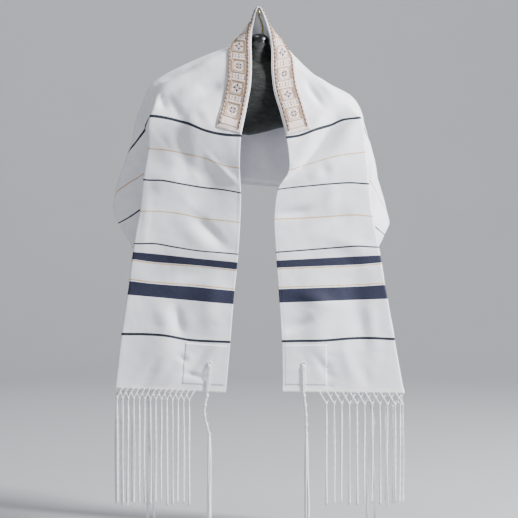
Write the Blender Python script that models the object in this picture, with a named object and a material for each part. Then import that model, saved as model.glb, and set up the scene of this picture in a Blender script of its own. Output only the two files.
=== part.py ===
"""Tallit prayer shawl hung on a padded shoulder form with a brass hook.

Metres, +Z up, +Y away from the front. The origin is the crown of the hook, under the peak of
the neck edge. One length of cloth runs from the left hem over the shoulders to the right hem.
"""

import math
from collections import namedtuple

import bmesh
import bpy
import numpy as np
from mathutils import Matrix, Vector

MM = 0.001

# Driving sizes of the cloth
CLOTH_WALL = 1.6 * MM
SEAM_GAP = 0.3 * MM
CUT_GAP = 2.0 * MM
FOLD_GAP = 10 * MM
NECKBAND_WIDTH = 65 * MM
NECKBAND_WALL = 1.2 * MM
NECKBAND_GAP = 0.6 * MM
NECKBAND_COLUMNS = 6
SQUARE_SIDE = 108 * MM
SQUARE_WALL = 0.8 * MM
SQUARE_GAP = 0.6 * MM
SQUARE_STEP = 29 * MM
SQUARE_MARGIN = 4 * MM
SQUARE_COLUMNS = 5
HEM_BAND = 10 * MM

# Where the cloth is cut into its three stretches, measured along it from the left hem
LENGTH = 2.06
LEFT_CUT = 0.775
NECKBAND_START = 0.697
PEAK_REACH = 36 * MM
PEAK_STEP = 12 * MM
FALL_STEP = 50 * MM
BACK_STEP = 30 * MM

# One row for each line across the cloth: its distance from the left hem, then, in millimetres,
# where it leaves the neck edge, turns at the front fold, turns back inside, reaches the side
# and ends at the outer edge.
Section = namedtuple("Section", "run neck fold turn side edge")
SECTIONS = [
    Section(0.000, (-84, -95, -981), (-363, -90, -971), (-320, -75, -982), (-278, -71, -992), (-236, -66, -1003)),
    Section(0.135, (-73, -95, -855), (-347, -88, -835), (-309, -71, -849), (-270, -64, -864), (-232, -56, -878)),
    Section(0.250, (-64, -96, -744), (-330, -86, -720), (-222, -62, -756), (-252, -50, -780), (-281, -48, -796)),
    Section(0.369, (-53, -98, -634), (-316, -84, -607), (-212, -60, -640), (-262, -46, -676), (-304, -44, -694)),
    Section(0.452, (-48, -100, -554), (-302, -82, -525), (-208, -58, -555), (-280, -38, -600), (-324, -36, -616)),
    Section(0.533, (-46, -104, -480), (-293, -80, -445), (-225, -58, -487), (-318, -30, -544), (-359, -20, -560)),
    Section(0.608, (-49, -108, -418), (-281, -78, -366), (-247, -58, -395), (-371, -6, -474), (-376, 4, -510)),
    Section(0.692, (-45, -108, -337), (-276, -75, -284), (-292, -50, -300), (-335, 0, -346), (-340, 28, -438)),
    Section(0.755, (-32, -99, -270), (-244, -56, -212), (-288, -14, -210), (-315, 20, -272), (-292, 52, -402)),
    Section(0.820, (-21, -84, -203), (-190, -46, -166), (-246, -2, -168), (-262, 45, -232), (-228, 84, -392)),
    Section(0.880, (-19, -66, -141), (-112, -42, -128), (-165, 2, -133), (-182, 58, -200), (-160, 94, -422)),
    Section(0.940, (-20, -42, -88), (-46, -26, -80), (-68, 6, -86), (-88, 58, -160), (-92, 97, -446)),
    Section(0.985, (-16, -16, -44), (-25, 0, -40), (-32, 16, -46), (-44, 60, -140), (-45, 93, -448)),
    Section(1.030, (0, -3, 4.4), (0, 8, 2.4), (0, 29, -24), (0, 66, -150), (0, 88, -452)),
    Section(1.075, (25, -22, -57), (31, -6, -48), (36, 14, -52), (46, 60, -150), (46, 93, -456)),
    Section(1.120, (31, -50, -106), (54, -32, -92), (72, 4, -98), (90, 58, -176), (92, 97, -461)),
    Section(1.180, (32, -72, -163), (96, -46, -148), (132, 0, -160), (146, 58, -232), (142, 96, -468)),
    Section(1.240, (38, -88, -222), (160, -48, -190), (208, -2, -202), (216, 46, -272), (208, 88, -456)),
    Section(1.305, (54, -99, -279), (212, -54, -236), (250, -12, -236), (268, 22, -304), (264, 62, -456)),
    Section(1.368, (69, -108, -341), (254, -70, -290), (264, -48, -302), (289, -2, -348), (306, 32, -500)),
    Section(1.452, (75, -112, -424), (270, -74, -375), (250, -54, -405), (319, -6, -494), (336, 5, -546)),
    Section(1.527, (48, -108, -471), (278, -78, -456), (214, -56, -505), (296, -30, -562), (322, -20, -583)),
    Section(1.608, (39, -102, -546), (288, -80, -538), (204, -58, -572), (270, -40, -626), (296, -36, -640)),
    Section(1.691, (43, -98, -629), (303, -82, -616), (208, -60, -650), (260, -46, -698), (284, -44, -716)),
    Section(1.810, (51, -96, -740), (322, -84, -730), (218, -62, -764), (250, -50, -802), (271, -48, -814)),
    Section(1.925, (58, -95, -853), (342, -86, -848), (304, -70, -865), (264, -63, -882), (226, -56, -898)),
    Section(2.060, (60, -95, -979), (366, -88, -984), (322, -74, -993), (278, -70, -1003), (234, -66, -1012)),
]

# How far each bend of a section is rounded, from the falls to the shoulders
FALL_ROUNDING = 5 * MM
SIDE_ROUNDING = 30 * MM
SHOULDER_ROUNDING = 45 * MM

# Distances from the hem over which the inner tuck opens and the folds become the shoulders
TUCK_START = (0.14, 0.22)
SHOULDER_BLEND = (0.65, 0.765)
BEND_REACH = 0.46

# Samples on the straights and in the bends of a section
STRAIGHT_STEPS = [5, 1, 3, 1, 2, 3]
BEND_STEPS = 2
SOFT_BEND_STEPS = 8
BACK_COLUMNS = 15

# Large folds: a soft trough or ridge along a line on the cloth, given by its ends as run and
# distance from the neck edge, with its height outward and its half width in millimetres.
Fold = namedtuple("Fold", "start_run start_across end_run end_across height half_width")
LARGE_FOLDS = [
    Fold(1.455, 0.010, 1.330, 0.170, -7, 26),
    Fold(1.505, 0.060, 1.350, 0.215, 6, 30),
    Fold(0.585, 0.030, 0.480, 0.130, -5, 30),
    Fold(0.420, 0.020, 0.330, 0.180, 5, 40),
    Fold(0.720, 0.070, 0.620, 0.190, 6, 34),
    Fold(0.930, 0.200, 0.900, 0.430, 7, 30),
    Fold(1.020, 0.180, 1.040, 0.440, -7, 34),
    Fold(1.140, 0.200, 1.160, 0.430, 7, 32),
]

# Fringe and corner tassels. A hem's knots, with the fringe's start and its lattice's height in millimetres
FringeSet = namedtuple("FringeSet", "knots margin lattice_drop")
LEFT_FRINGE = FringeSet(18, 92, 23)
RIGHT_FRINGE = FringeSet(14, 110, 29)
FRINGE_END_MARGIN = 88 * MM
FALLING_ROOT = 0.30
RISING_ROOT = 0.46
FALLING_HALF = 1.1 * MM
RISING_HALF = 1.25 * MM
KNOT_HALF = 3.0 * MM
STRAND_HALF = 1.3 * MM
STRAND_END = -1.262
STRAND_UNEVENNESS = 4 * MM
STRAND_SWAY = 1.5 * MM
# Heights above a knot's middle, with the strand's half width there
KNOT_PROFILE = [(3 * MM, STRAND_HALF), (-1 * MM, KNOT_HALF), (-6 * MM, STRAND_HALF)]
THREAD_SIDES = 3
EYELET_RUN = 75 * MM
EYELET_ACROSS = 46 * MM
RIGHT_FRONT_EYELET_ACROSS = 53 * MM
CORD_HALF = 2.2 * MM
KNOT_OF_CORD_HALF = 5.2 * MM
WOUND_HALF = 3.4 * MM
WOUND_START = 10 * MM
WOUND_KNOTS = 5
WOUND_SHARE = 0.9
# Heights above each knot of the wound part, with the half width there
WOUND_PROFILE = [(3.5 * MM, WOUND_HALF), (0, KNOT_OF_CORD_HALF), (-3.5 * MM, WOUND_HALF)]
CORD_SIDES = 6
COLLAR_DROP = 3 * MM
COLLAR_LENGTH = 4 * MM
TASSEL_STRINGS = 8
STRING_UNEVENNESS = 5 * MM
STRING_ROOT = 2 * MM
STRING_RING = 4.6 * MM
STRING_HALF = 1.1 * MM
STRING_END = -1.318
WOUND_LENGTH = 108 * MM

# The form, in its own upright frame, before it hangs a little askew
FORM_TILT = math.radians(4.9)
FormSlice = namedtuple("FormSlice", "across top bottom front back")
FORM_SLICES = [
    FormSlice(0.000, -124, -328, -75, 46),
    FormSlice(0.045, -134, -325, -75, 46),
    FormSlice(0.075, -146, -320, -70, 45),
    FormSlice(0.110, -158, -311, -62, 42),
    FormSlice(0.145, -168, -300, -52, 37),
    FormSlice(0.175, -178, -288, -43, 30),
    FormSlice(0.195, -188, -272, -31, 24),
    FormSlice(0.207, -204, -250, -17, 14),
]
FORM_SIDES = 20
LOWER_SQUARENESS = 0.7
# The lower edge rises on one side: between these distances from the middle, by this much
RISE_START = 4 * MM
RISE_END = 75 * MM
BOTTOM_RISE = 17 * MM
NECK_HALF_WIDTH = 34 * MM
NECK_HALF_DEPTH = 33 * MM
NECK_CENTRE_X = 8 * MM
NECK_CENTRE_Y = -4 * MM
NECK_FOOT = -150 * MM
NECK_TOP = -92 * MM
CAP_HALF_WIDTH = 27 * MM
CAP_TOP = -66 * MM
NECK_LEVELS = (0, 0.35, 0.7, 1)
NECK_FLARE = 0.5
# Share of the cap's height, with its half width there as a share of the whole
CAP_PROFILE = [(0, 1), (0.45, 0.97), (0.8, 0.75), (1, 0.42)]
HOOK_WIRE_HALF = 2.6 * MM
HOOK_FOOT_X = 14 * MM
HOOK_BEND = 8 * MM
HOOK_SWEEP = math.radians(235)
HOOK_START = math.radians(-30)
HOOK_SIDES = 8
STEM_MIDDLE = Vector((6 * MM, 2 * MM, -34 * MM))
HOOK_STEPS = 8
CROWN_WIDTH = 3 * MM
CROWN_DEPTH = 5 * MM


def smooth_columns(knots, values, at):
    """Returns values interpolated at the places given, by a smooth curve through the knots."""
    knots = np.asarray(knots, float)
    values = np.asarray(values, float)
    slopes = np.gradient(values, knots, axis=0)
    at = np.clip(np.asarray(at, float), knots[0], knots[-1])
    index = np.clip(np.searchsorted(knots, at, side="right") - 1, 0, len(knots) - 2)
    step = knots[index + 1] - knots[index]
    share = (at - knots[index]) / step
    shape = (-1,) + (1,) * (values.ndim - 1)
    share = share.reshape(shape)
    step = step.reshape(shape)
    square, cube = share ** 2, share ** 3
    return (
        (2 * cube - 3 * square + 1) * values[index]
        + (cube - 2 * square + share) * step * slopes[index]
        + (3 * square - 2 * cube) * values[index + 1]
        + (cube - square) * step * slopes[index + 1]
    )


def ramp(run, places):
    """Returns 0 nearer the hem than the first place and 1 beyond the second, smooth between."""
    from_hem = min(run, LENGTH - run)
    low, high = places
    share = min(max((from_hem - low) / (high - low), 0), 1)
    return share * share * (3 - 2 * share)


def past_bend(bend, following, folded):
    """Returns the second corner of a bend: behind the first where the cloth is folded back."""
    ahead = following - bend
    distance = np.linalg.norm(ahead)
    gap = folded * min(FOLD_GAP, distance / 3) + (1 - folded) * distance / 2
    return bend + gap * (folded * np.array([0, 1, 0]) + (1 - folded) * ahead / distance)


def section_corners(run):
    """Returns the seven corners of the line across the cloth at this run."""
    knots = [row.run for row in SECTIONS]
    table = [[row.neck, row.fold, row.turn, row.side, row.edge] for row in SECTIONS]
    neck, fold, turn, side, edge = smooth_columns(knots, table, [run])[0] * MM
    folded = 1 - ramp(run, SHOULDER_BLEND)
    past_fold = past_bend(fold, turn, folded)
    past_turn = past_bend(turn, side, folded * ramp(run, TUCK_START))
    return np.array([neck, fold, past_fold, turn, past_turn, side, edge])


def section_points(run, bend_steps=BEND_STEPS):
    """Returns the points of the line across the cloth, its bends rounded by arcs."""
    corners = section_corners(run)
    share = ramp(run, SHOULDER_BLEND)
    fall = [FALL_ROUNDING, FALL_ROUNDING, FALL_ROUNDING, FALL_ROUNDING, SIDE_ROUNDING]
    points = []
    leave = corners[0]
    for number, rounding in enumerate(fall, start=1):
        corner = corners[number]
        back, ahead = corners[number - 1] - corner, corners[number + 1] - corner
        back_length, ahead_length = np.linalg.norm(back), np.linalg.norm(ahead)
        wanted = rounding * (1 - share) + SHOULDER_ROUNDING * share
        cut = min(wanted, BEND_REACH * back_length, BEND_REACH * ahead_length)
        arrive = corner + back * cut / back_length
        for step in range(STRAIGHT_STEPS[number - 1]):
            points.append(leave + (arrive - leave) * step / STRAIGHT_STEPS[number - 1])
        leave = corner + ahead * cut / ahead_length
        for step in range(bend_steps):
            t = step / bend_steps
            points.append((1 - t) ** 2 * arrive + 2 * t * (1 - t) * corner + t ** 2 * leave)
    for step in range(STRAIGHT_STEPS[-1] + 1):
        points.append(leave + (corners[-1] - leave) * step / STRAIGHT_STEPS[-1])
    return np.array(points)


def across_lengths(points):
    """Returns the distance from the neck edge of each point of a section."""
    gaps = np.linalg.norm(np.diff(points, axis=0), axis=1)
    return np.concatenate([[0], np.cumsum(gaps)])


def placed_along(values, lengths, across):
    """Returns a section's values at distances from the neck edge."""
    columns = [np.interp(across, lengths, values[:, axis]) for axis in range(3)]
    return np.stack(columns, axis=-1)


def fold_heights(run, across):
    """Returns how far the large folds lift each point of a section."""
    lift = np.zeros_like(across)
    for fold in LARGE_FOLDS:
        start = np.array([fold.start_run, fold.start_across])
        line = np.array([fold.end_run, fold.end_across]) - start
        offset = np.stack([np.full_like(across, run), across], axis=-1) - start
        along = np.clip(offset @ line / (line @ line), 0, 1)
        away = np.linalg.norm(offset - along[:, None] * line, axis=-1)
        fade = np.sin(math.pi * np.clip(along, 0.04, 0.96)) ** 0.6
        lift += fold.height * MM * fade * np.exp(-(away / (fold.half_width * MM)) ** 2)
    return lift


def cloth_rows(runs, places=None, bend_steps=BEND_STEPS):
    """Returns the middle points of the cloth and their outward normals, a row for each run.

    Without places, the columns follow the bends. With it, a row's columns lie at the distances
    from the neck edge that places gives for the row's whole width.
    """
    nudge = 2 * MM
    rows, normals = [], []
    for run in runs:
        points = section_points(run, bend_steps)
        lengths = across_lengths(points)
        ahead = section_points(min(run + nudge, LENGTH), bend_steps)
        along = ahead - section_points(max(run - nudge, 0), bend_steps)
        normal = np.cross(along, np.gradient(points, axis=0))
        normal /= np.linalg.norm(normal, axis=1)[:, None]
        points = points + normal * fold_heights(run, lengths)[:, None]
        if places is not None:
            across = places(lengths[-1])
            points = placed_along(points, lengths, across)
            normal = placed_along(normal, lengths, across)
        rows.append(points)
        normals.append(normal)
    return np.array(rows), np.array(normals)


def neckband_runs():
    """Returns the rows of the neckband, which are the cloth's own."""
    left = [run for run in fall_runs()[:-1] if run > NECKBAND_START - MM]
    return np.concatenate([left, back_runs(), LENGTH - np.array(left[::-1])])


def neckband_columns(width):
    """Returns the columns of the neckband, which every row shares."""
    return np.linspace(0, NECKBAND_WIDTH, NECKBAND_COLUMNS)


def back_columns(width):
    """Returns the columns over the shoulders and back: the neckband's, then even ones."""
    beyond = np.linspace(NECKBAND_WIDTH, width, BACK_COLUMNS)
    return np.append(neckband_columns(width), beyond[1:])


def spaced(start, end, largest):
    """Returns even places from start to end, no further apart than largest."""
    count = max(1, math.ceil((end - start) / largest - 1e-6))
    return np.linspace(start, end, count + 1)


def fall_runs():
    """Returns the rows of the left fall, one of them at the end of the neckband."""
    rows = spaced(HEM_BAND + SEAM_GAP, NECKBAND_START, FALL_STEP)
    return np.append(rows, spaced(NECKBAND_START, LEFT_CUT - CUT_GAP / 2, BACK_STEP)[1:])


def back_runs():
    """Returns the rows over the shoulders and back, closer together by the neck edge's peak."""
    start = LEFT_CUT + CUT_GAP / 2
    near = LENGTH / 2 - PEAK_REACH
    left = np.append(spaced(start, near, BACK_STEP), spaced(near, LENGTH / 2, PEAK_STEP)[1:])
    return np.append(left, LENGTH - left[-2::-1])


def material(name, colour, roughness, metallic=0.0):
    """Returns a plain material in the piece's colour."""
    made = bpy.data.materials.new(name)
    made.use_nodes = True
    shader = made.node_tree.nodes["Principled BSDF"]
    shader.inputs["Base Color"].default_value = (*colour, 1)
    shader.inputs["Roughness"].default_value = roughness
    shader.inputs["Metallic"].default_value = metallic
    return made


def add_object(name, shape, finish, smooth=True):
    """Puts a finished bmesh into the scene under its name."""
    mesh = bpy.data.meshes.new(name)
    bmesh.ops.recalc_face_normals(shape, faces=shape.faces)
    shape.to_mesh(mesh)
    shape.free()
    mesh.materials.append(finish)
    if smooth:
        mesh.shade_smooth()
    made = bpy.data.objects.new(name, mesh)
    bpy.context.collection.objects.link(made)
    return made


def wall(middle, normals, inner, outer):
    """Returns a closed wall between two offsets of a grid of points."""
    shape = bmesh.new()
    rows, columns = middle.shape[:2]
    sides = []
    for offset in (inner, outer):
        grid = middle + normals * offset
        sides.append([[shape.verts.new(point) for point in row] for row in grid])
    for row in range(rows - 1):
        for column in range(columns - 1):
            for side in sides:
                shape.faces.new([
                    side[row][column], side[row][column + 1],
                    side[row + 1][column + 1], side[row + 1][column],
                ])
    low, high = sides
    rim = [(row, 0) for row in range(rows)]
    rim += [(rows - 1, column) for column in range(1, columns)]
    rim += [(row, columns - 1) for row in range(rows - 2, -1, -1)]
    rim += [(0, column) for column in range(columns - 2, 0, -1)]
    for (a, b), (c, d) in zip(rim, rim[1:] + rim[:1]):
        shape.faces.new([low[a][b], low[c][d], high[c][d], high[a][b]])
    return shape


def add_prong(shape, points, halves, sides=4):
    """Adds a closed prism along a path to a bmesh, with a half width at each point."""
    rings = []
    across = Vector((1, 0, 0))
    for number, (point, half) in enumerate(zip(points, halves)):
        before = Vector(points[max(number - 1, 0)])
        after = Vector(points[min(number + 1, len(points) - 1)])
        along = (after - before).normalized()
        across = (across - along * across.dot(along)).normalized()
        beside = along.cross(across)
        ring = []
        for side in range(sides):
            angle = 2 * math.pi * (side + 0.5) / sides
            spoke = across * (half * math.cos(angle)) + beside * (half * math.sin(angle))
            ring.append(shape.verts.new(Vector(point) + spoke))
        rings.append(ring)
    for low, high in zip(rings, rings[1:]):
        for side in range(sides):
            following = (side + 1) % sides
            shape.faces.new([low[side], low[following], high[following], high[side]])
    shape.faces.new(list(reversed(rings[0])))
    shape.faces.new(rings[-1])


def unite(base, others):
    """Joins other objects to the base by exact unions and removes them."""
    for other in others:
        joint = base.modifiers.new("Union", "BOOLEAN")
        joint.operation = "UNION"
        joint.solver = "EXACT"
        joint.object = other
    reader = bpy.context.evaluated_depsgraph_get()
    joined = bpy.data.meshes.new_from_object(base.evaluated_get(reader))
    base.modifiers.clear()
    base.data = joined
    for other in others:
        bpy.data.objects.remove(other, do_unlink=True)
    return base


def make_cloth(finishes):
    """Makes the three stretches of the cloth."""
    half = CLOTH_WALL / 2
    stretches = {
        "shawl_left_fall": fall_runs(),
        "shawl_back": back_runs(),
        "shawl_right_fall": LENGTH - fall_runs()[::-1],
    }
    for name, runs in stretches.items():
        over_back = name == "shawl_back"
        columns = back_columns if over_back else None
        middle, normals = cloth_rows(runs, columns, SOFT_BEND_STEPS if over_back else BEND_STEPS)
        add_object(name, wall(middle, normals, -half, half), finishes["cloth"])


def make_neckband(finishes):
    """Makes the band along the neck edge, lying on the cloth's outer face."""
    middle, normals = cloth_rows(neckband_runs(), neckband_columns, SOFT_BEND_STEPS)
    lift = CLOTH_WALL / 2 + NECKBAND_GAP
    shape = wall(middle, normals, lift, lift + NECKBAND_WALL)
    add_object("neckband", shape, finishes["neckband"])


def square_columns(outer_edge):
    """Returns the columns of a corner square, as a function of the row's whole width."""
    def columns(width):
        start = width - SQUARE_MARGIN - SQUARE_SIDE if outer_edge else SQUARE_MARGIN
        return np.linspace(start, start + SQUARE_SIDE, SQUARE_COLUMNS)
    return columns


def make_corner_squares(finishes):
    """Makes the sewn reinforcement at each corner of the cloth."""
    low = HEM_BAND + SQUARE_MARGIN
    places = [
        (low, low + SQUARE_SIDE, False),
        (LENGTH - low - SQUARE_SIDE, LENGTH - low, False),
        (low, low + SQUARE_SIDE, True),
        (LENGTH - low - SQUARE_SIDE, LENGTH - low, True),
    ]
    lift = CLOTH_WALL / 2 + SQUARE_GAP
    for number, (run_low, run_high, outer_edge) in enumerate(places, start=1):
        runs = spaced(run_low, run_high, SQUARE_STEP)
        middle, normals = cloth_rows(runs, square_columns(outer_edge))
        shape = wall(middle, normals, lift, lift + SQUARE_WALL)
        add_object(f"corner_square_{number}", shape, finishes["cloth"])


def on_band(middle, across, share):
    """Returns points on a hem band, a share of the way up from its lower edge."""
    low, high = [placed_along(row, across_lengths(row), across) for row in middle]
    return low * (1 - share) + high * share


def make_fringed_hem(name, hem_run, inner_run, fringe, finishes):
    """Makes a hem band with its lattice, knots and strands fused to it."""
    half = CLOTH_WALL / 2
    middle, normals = cloth_rows([hem_run, inner_run])
    band = add_object(name, wall(middle, normals, -half, half), finishes["thread"], smooth=False)
    total = across_lengths(middle[0])[-1]
    knots = np.linspace(fringe.margin * MM, total - FRINGE_END_MARGIN, fringe.knots)
    spacing = knots[1] - knots[0]
    between = np.append(knots - spacing / 2, knots[-1] + spacing / 2)
    falling_tops = on_band(middle, between, FALLING_ROOT)
    rising_tops = on_band(middle, between, RISING_ROOT)
    beads = on_band(middle, knots, 0) - np.array([0, 0, fringe.lattice_drop * MM])
    falling, rising, strands = bmesh.new(), bmesh.new(), bmesh.new()
    for number, bead in enumerate(beads):
        add_prong(falling, [falling_tops[number], bead], [FALLING_HALF] * 2, THREAD_SIDES)
        add_prong(rising, [rising_tops[number + 1], bead], [RISING_HALF] * 2, THREAD_SIDES)
        sway = STRAND_SWAY * math.sin(2.1 * number)
        end = STRAND_END - STRAND_UNEVENNESS * math.cos(1.7 * number)
        mid = bead + np.array([sway, 0, 0.5 * (end - bead[2])])
        foot = np.array([bead[0] + 0.6 * sway, bead[1], end])
        levels = [bead + np.array([0, 0, height]) for height, _ in KNOT_PROFILE]
        halves = [half for _, half in KNOT_PROFILE]
        add_prong(strands, levels + [mid, foot], halves + [STRAND_HALF] * 2, THREAD_SIDES)
    sets = [add_object(f"{name}_set", shape, finishes["thread"], smooth=False)
            for shape in (falling, rising, strands)]
    unite(band, sets)


def make_tassel(name, hem_run, outer_edge, eyelet_across, lean, finishes):
    """Makes a corner tassel: its cord over the cloth, its wound part and its eight strings."""
    direction = 1 if hem_run == 0 else -1
    lift = CLOTH_WALL / 2 + SQUARE_GAP + SQUARE_WALL + SEAM_GAP + CORD_HALF
    path, halves = [], []

    def cord_columns(width):
        return [width - eyelet_across if outer_edge else eyelet_across]

    for part in (1.0, 0.5, 0.0):
        run = hem_run + direction * EYELET_RUN * part
        middle, normals = cloth_rows([run], cord_columns)
        path.append(middle[0][0] + normals[0][0] * lift)
        halves.append(CORD_HALF)
    hem = path[-1]
    for number in range(WOUND_KNOTS):
        share = number / (WOUND_KNOTS - 1)
        drop = WOUND_START + WOUND_LENGTH * share * WOUND_SHARE
        centre = hem + np.array([lean * share, 0, -drop])
        for height, half in WOUND_PROFILE:
            path.append(centre + np.array([0, 0, height]))
            halves.append(half)
    collar = path[-1] - np.array([0, 0, COLLAR_DROP])
    foot = collar - np.array([0, 0, COLLAR_LENGTH])
    path += [collar, foot]
    halves += [STRING_RING + 2 * STRING_HALF] * 2
    head_shape = bmesh.new()
    add_prong(head_shape, path, halves, CORD_SIDES)
    head = add_object(name, head_shape, finishes["thread"], smooth=False)
    strings = bmesh.new()
    for number in range(TASSEL_STRINGS):
        angle = 2 * math.pi * number / TASSEL_STRINGS
        spoke = STRING_RING * np.array([math.cos(angle), math.sin(angle), 0])
        end = STRING_END - STRING_UNEVENNESS * math.sin(2.4 * number)
        top = foot + spoke + np.array([0, 0, STRING_ROOT])
        middle = foot + spoke * 1.3 + np.array([0, 0, 0.5 * (end - foot[2])])
        low = np.array([foot[0], foot[1], end]) + spoke * 1.15
        add_prong(strings, [top, middle, low], [STRING_HALF] * 3, THREAD_SIDES)
    unite(head, [add_object(f"{name}_strings", strings, finishes["thread"], smooth=False)])


def form_ring(half_width, half_depth, height):
    """Returns the level ring of points at one height of the neck or cap."""
    ring = []
    for side in range(FORM_SIDES):
        angle = 2 * math.pi * side / FORM_SIDES
        x = NECK_CENTRE_X + half_width * math.cos(angle)
        y = NECK_CENTRE_Y + half_depth * math.sin(angle)
        ring.append(Vector((x, y, height)))
    return ring


def loft(rings):
    """Returns a closed bmesh through rings of points, with flat ends."""
    shape = bmesh.new()
    made = [[shape.verts.new(point) for point in ring] for ring in rings]
    for low, high in zip(made, made[1:]):
        for side in range(len(low)):
            following = (side + 1) % len(low)
            shape.faces.new([low[side], low[following], high[following], high[side]])
    shape.faces.new(list(reversed(made[0])))
    shape.faces.new(made[-1])
    return shape


def make_form(finishes):
    """Makes the padded form, with its neck, and the cap on it."""
    tilt = Matrix.Rotation(FORM_TILT, 4, "Y")
    slices = [(-row.across, row) for row in reversed(FORM_SLICES[1:])]
    slices += [(row.across, row) for row in FORM_SLICES]
    rings = []
    for x, row in slices:
        centre_y, half_depth = (row.front + row.back) / 2 * MM, (row.back - row.front) / 2 * MM
        share = min(max((x * MM - RISE_START) / (RISE_END - RISE_START), 0), 1)
        top, bottom = row.top * MM, row.bottom * MM + BOTTOM_RISE * share
        centre_z, half_height = (top + bottom) / 2, (top - bottom) / 2
        ring = []
        for side in range(FORM_SIDES):
            angle = 2 * math.pi * side / FORM_SIDES
            power = 1 if math.sin(angle) > 0 else LOWER_SQUARENESS
            y = math.copysign(abs(math.cos(angle)) ** power, math.cos(angle))
            z = math.copysign(abs(math.sin(angle)) ** power, math.sin(angle))
            ring.append(Vector((x, centre_y + half_depth * y, centre_z + half_height * z)))
        rings.append(ring)
    body = add_object("shoulder_form", loft(rings), finishes["form"])
    neck_rings = []
    for share in NECK_LEVELS:
        height = NECK_FOOT + (NECK_TOP - NECK_FOOT) * share
        flare = 1 + NECK_FLARE * (1 - share) ** 2
        neck_rings.append(form_ring(NECK_HALF_WIDTH * flare, NECK_HALF_DEPTH * flare, height))
    neck = add_object("neck", loft(neck_rings), finishes["form"])
    unite(body, [neck])
    body.data.transform(tilt)
    cap_rings = []
    for share, narrow in CAP_PROFILE:
        height = NECK_TOP + SEAM_GAP + (CAP_TOP - NECK_TOP) * share
        half = CAP_HALF_WIDTH * narrow
        cap_rings.append(form_ring(half, half, height))
    cap = add_object("neck_cap", loft(cap_rings), finishes["cap"])
    cap.data.transform(tilt)


def make_hook(finishes):
    """Makes the brass hook from the cap up to its flat crown at the origin."""
    tilt = Matrix.Rotation(FORM_TILT, 4, "Y")
    foot = Vector((HOOK_FOOT_X, NECK_CENTRE_Y, CAP_TOP + 2 * SEAM_GAP))
    wire = [tilt @ foot, tilt @ (foot + Vector((0, 0, HOOK_BEND)))]
    wire.append(STEM_MIDDLE)
    bend = Vector((0, 0, -HOOK_BEND - HOOK_WIRE_HALF))
    for step in range(HOOK_STEPS + 1):
        angle = HOOK_START + HOOK_SWEEP * step / HOOK_STEPS
        wire.append(bend + Vector((0, HOOK_BEND * math.cos(angle), HOOK_BEND * math.sin(angle))))
    shape = bmesh.new()
    add_prong(shape, wire, [HOOK_WIRE_HALF] * len(wire), HOOK_SIDES)
    hook = add_object("hanger_hook", shape, finishes["brass"])
    crown = bmesh.new()
    bmesh.ops.create_cube(crown, size=1)
    bmesh.ops.scale(crown, vec=(CROWN_WIDTH, CROWN_DEPTH, HOOK_WIRE_HALF), verts=crown.verts)
    bmesh.ops.translate(crown, vec=(0, 0, -HOOK_WIRE_HALF / 2), verts=crown.verts)
    unite(hook, [add_object("crown", crown, finishes["brass"])])


def main():
    """Builds every piece of the shawl and of the form that it hangs on."""
    for old in list(bpy.data.objects):
        bpy.data.objects.remove(old, do_unlink=True)
    finishes = {
        "cloth": material("white_cloth", (0.86, 0.86, 0.90), 0.55),
        "neckband": material("neckband_cloth", (0.80, 0.73, 0.70), 0.6),
        "thread": material("white_thread", (0.88, 0.88, 0.90), 0.6),
        "form": material("form_cover", (0.020, 0.032, 0.030), 0.55),
        "cap": material("cap_plastic", (0.012, 0.012, 0.014), 0.35),
        "brass": material("brass", (0.60, 0.45, 0.20), 0.3, 1.0),
    }
    make_cloth(finishes)
    make_neckband(finishes)
    make_corner_squares(finishes)
    make_fringed_hem("fringed_hem_left", 0, HEM_BAND, LEFT_FRINGE, finishes)
    make_fringed_hem("fringed_hem_right", LENGTH, LENGTH - HEM_BAND, RIGHT_FRINGE, finishes)
    make_tassel("tzitzit_front_left", 0, False, EYELET_ACROSS, 4 * MM, finishes)
    make_tassel("tzitzit_front_right", LENGTH, False, RIGHT_FRONT_EYELET_ACROSS, 6 * MM, finishes)
    make_tassel("tzitzit_back_left", 0, True, EYELET_ACROSS, 3 * MM, finishes)
    make_tassel("tzitzit_back_right", LENGTH, True, EYELET_ACROSS, 4 * MM, finishes)
    make_form(finishes)
    make_hook(finishes)


main()
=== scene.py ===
"""Dressed tallit prayer shawl on its padded shoulder form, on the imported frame.

Metres, +Z up, +Y away from the front. The shawl is one length of cloth that runs from the left
hem over the shoulders to the right hem. "run" is the distance along it from the left hem and
"across" the distance from the neck edge.
"""

from __future__ import annotations

import logging
import math
from collections.abc import Callable, Sequence
from dataclasses import dataclass, field
from enum import Enum
from typing import NamedTuple

import bmesh
import bpy
import numpy as np
from mathutils import Matrix, Vector, noise

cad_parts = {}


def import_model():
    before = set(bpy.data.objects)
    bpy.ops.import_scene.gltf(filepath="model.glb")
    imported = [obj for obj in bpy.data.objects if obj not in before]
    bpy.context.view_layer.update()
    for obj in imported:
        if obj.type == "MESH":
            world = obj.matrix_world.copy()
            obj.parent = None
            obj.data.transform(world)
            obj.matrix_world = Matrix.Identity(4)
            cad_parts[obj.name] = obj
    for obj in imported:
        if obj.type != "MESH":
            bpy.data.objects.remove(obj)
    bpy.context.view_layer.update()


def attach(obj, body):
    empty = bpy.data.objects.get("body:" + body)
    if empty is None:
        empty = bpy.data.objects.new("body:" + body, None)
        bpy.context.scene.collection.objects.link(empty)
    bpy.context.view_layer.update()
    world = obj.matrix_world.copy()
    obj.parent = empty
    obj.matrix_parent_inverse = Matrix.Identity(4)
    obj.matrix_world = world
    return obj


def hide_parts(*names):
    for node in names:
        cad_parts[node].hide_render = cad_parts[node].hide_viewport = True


MM = 0.001
BODY = "root"
log = logging.getLogger("shawl")

Colour = tuple[float, float, float]
Columns = Callable[[float], np.ndarray]


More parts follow.
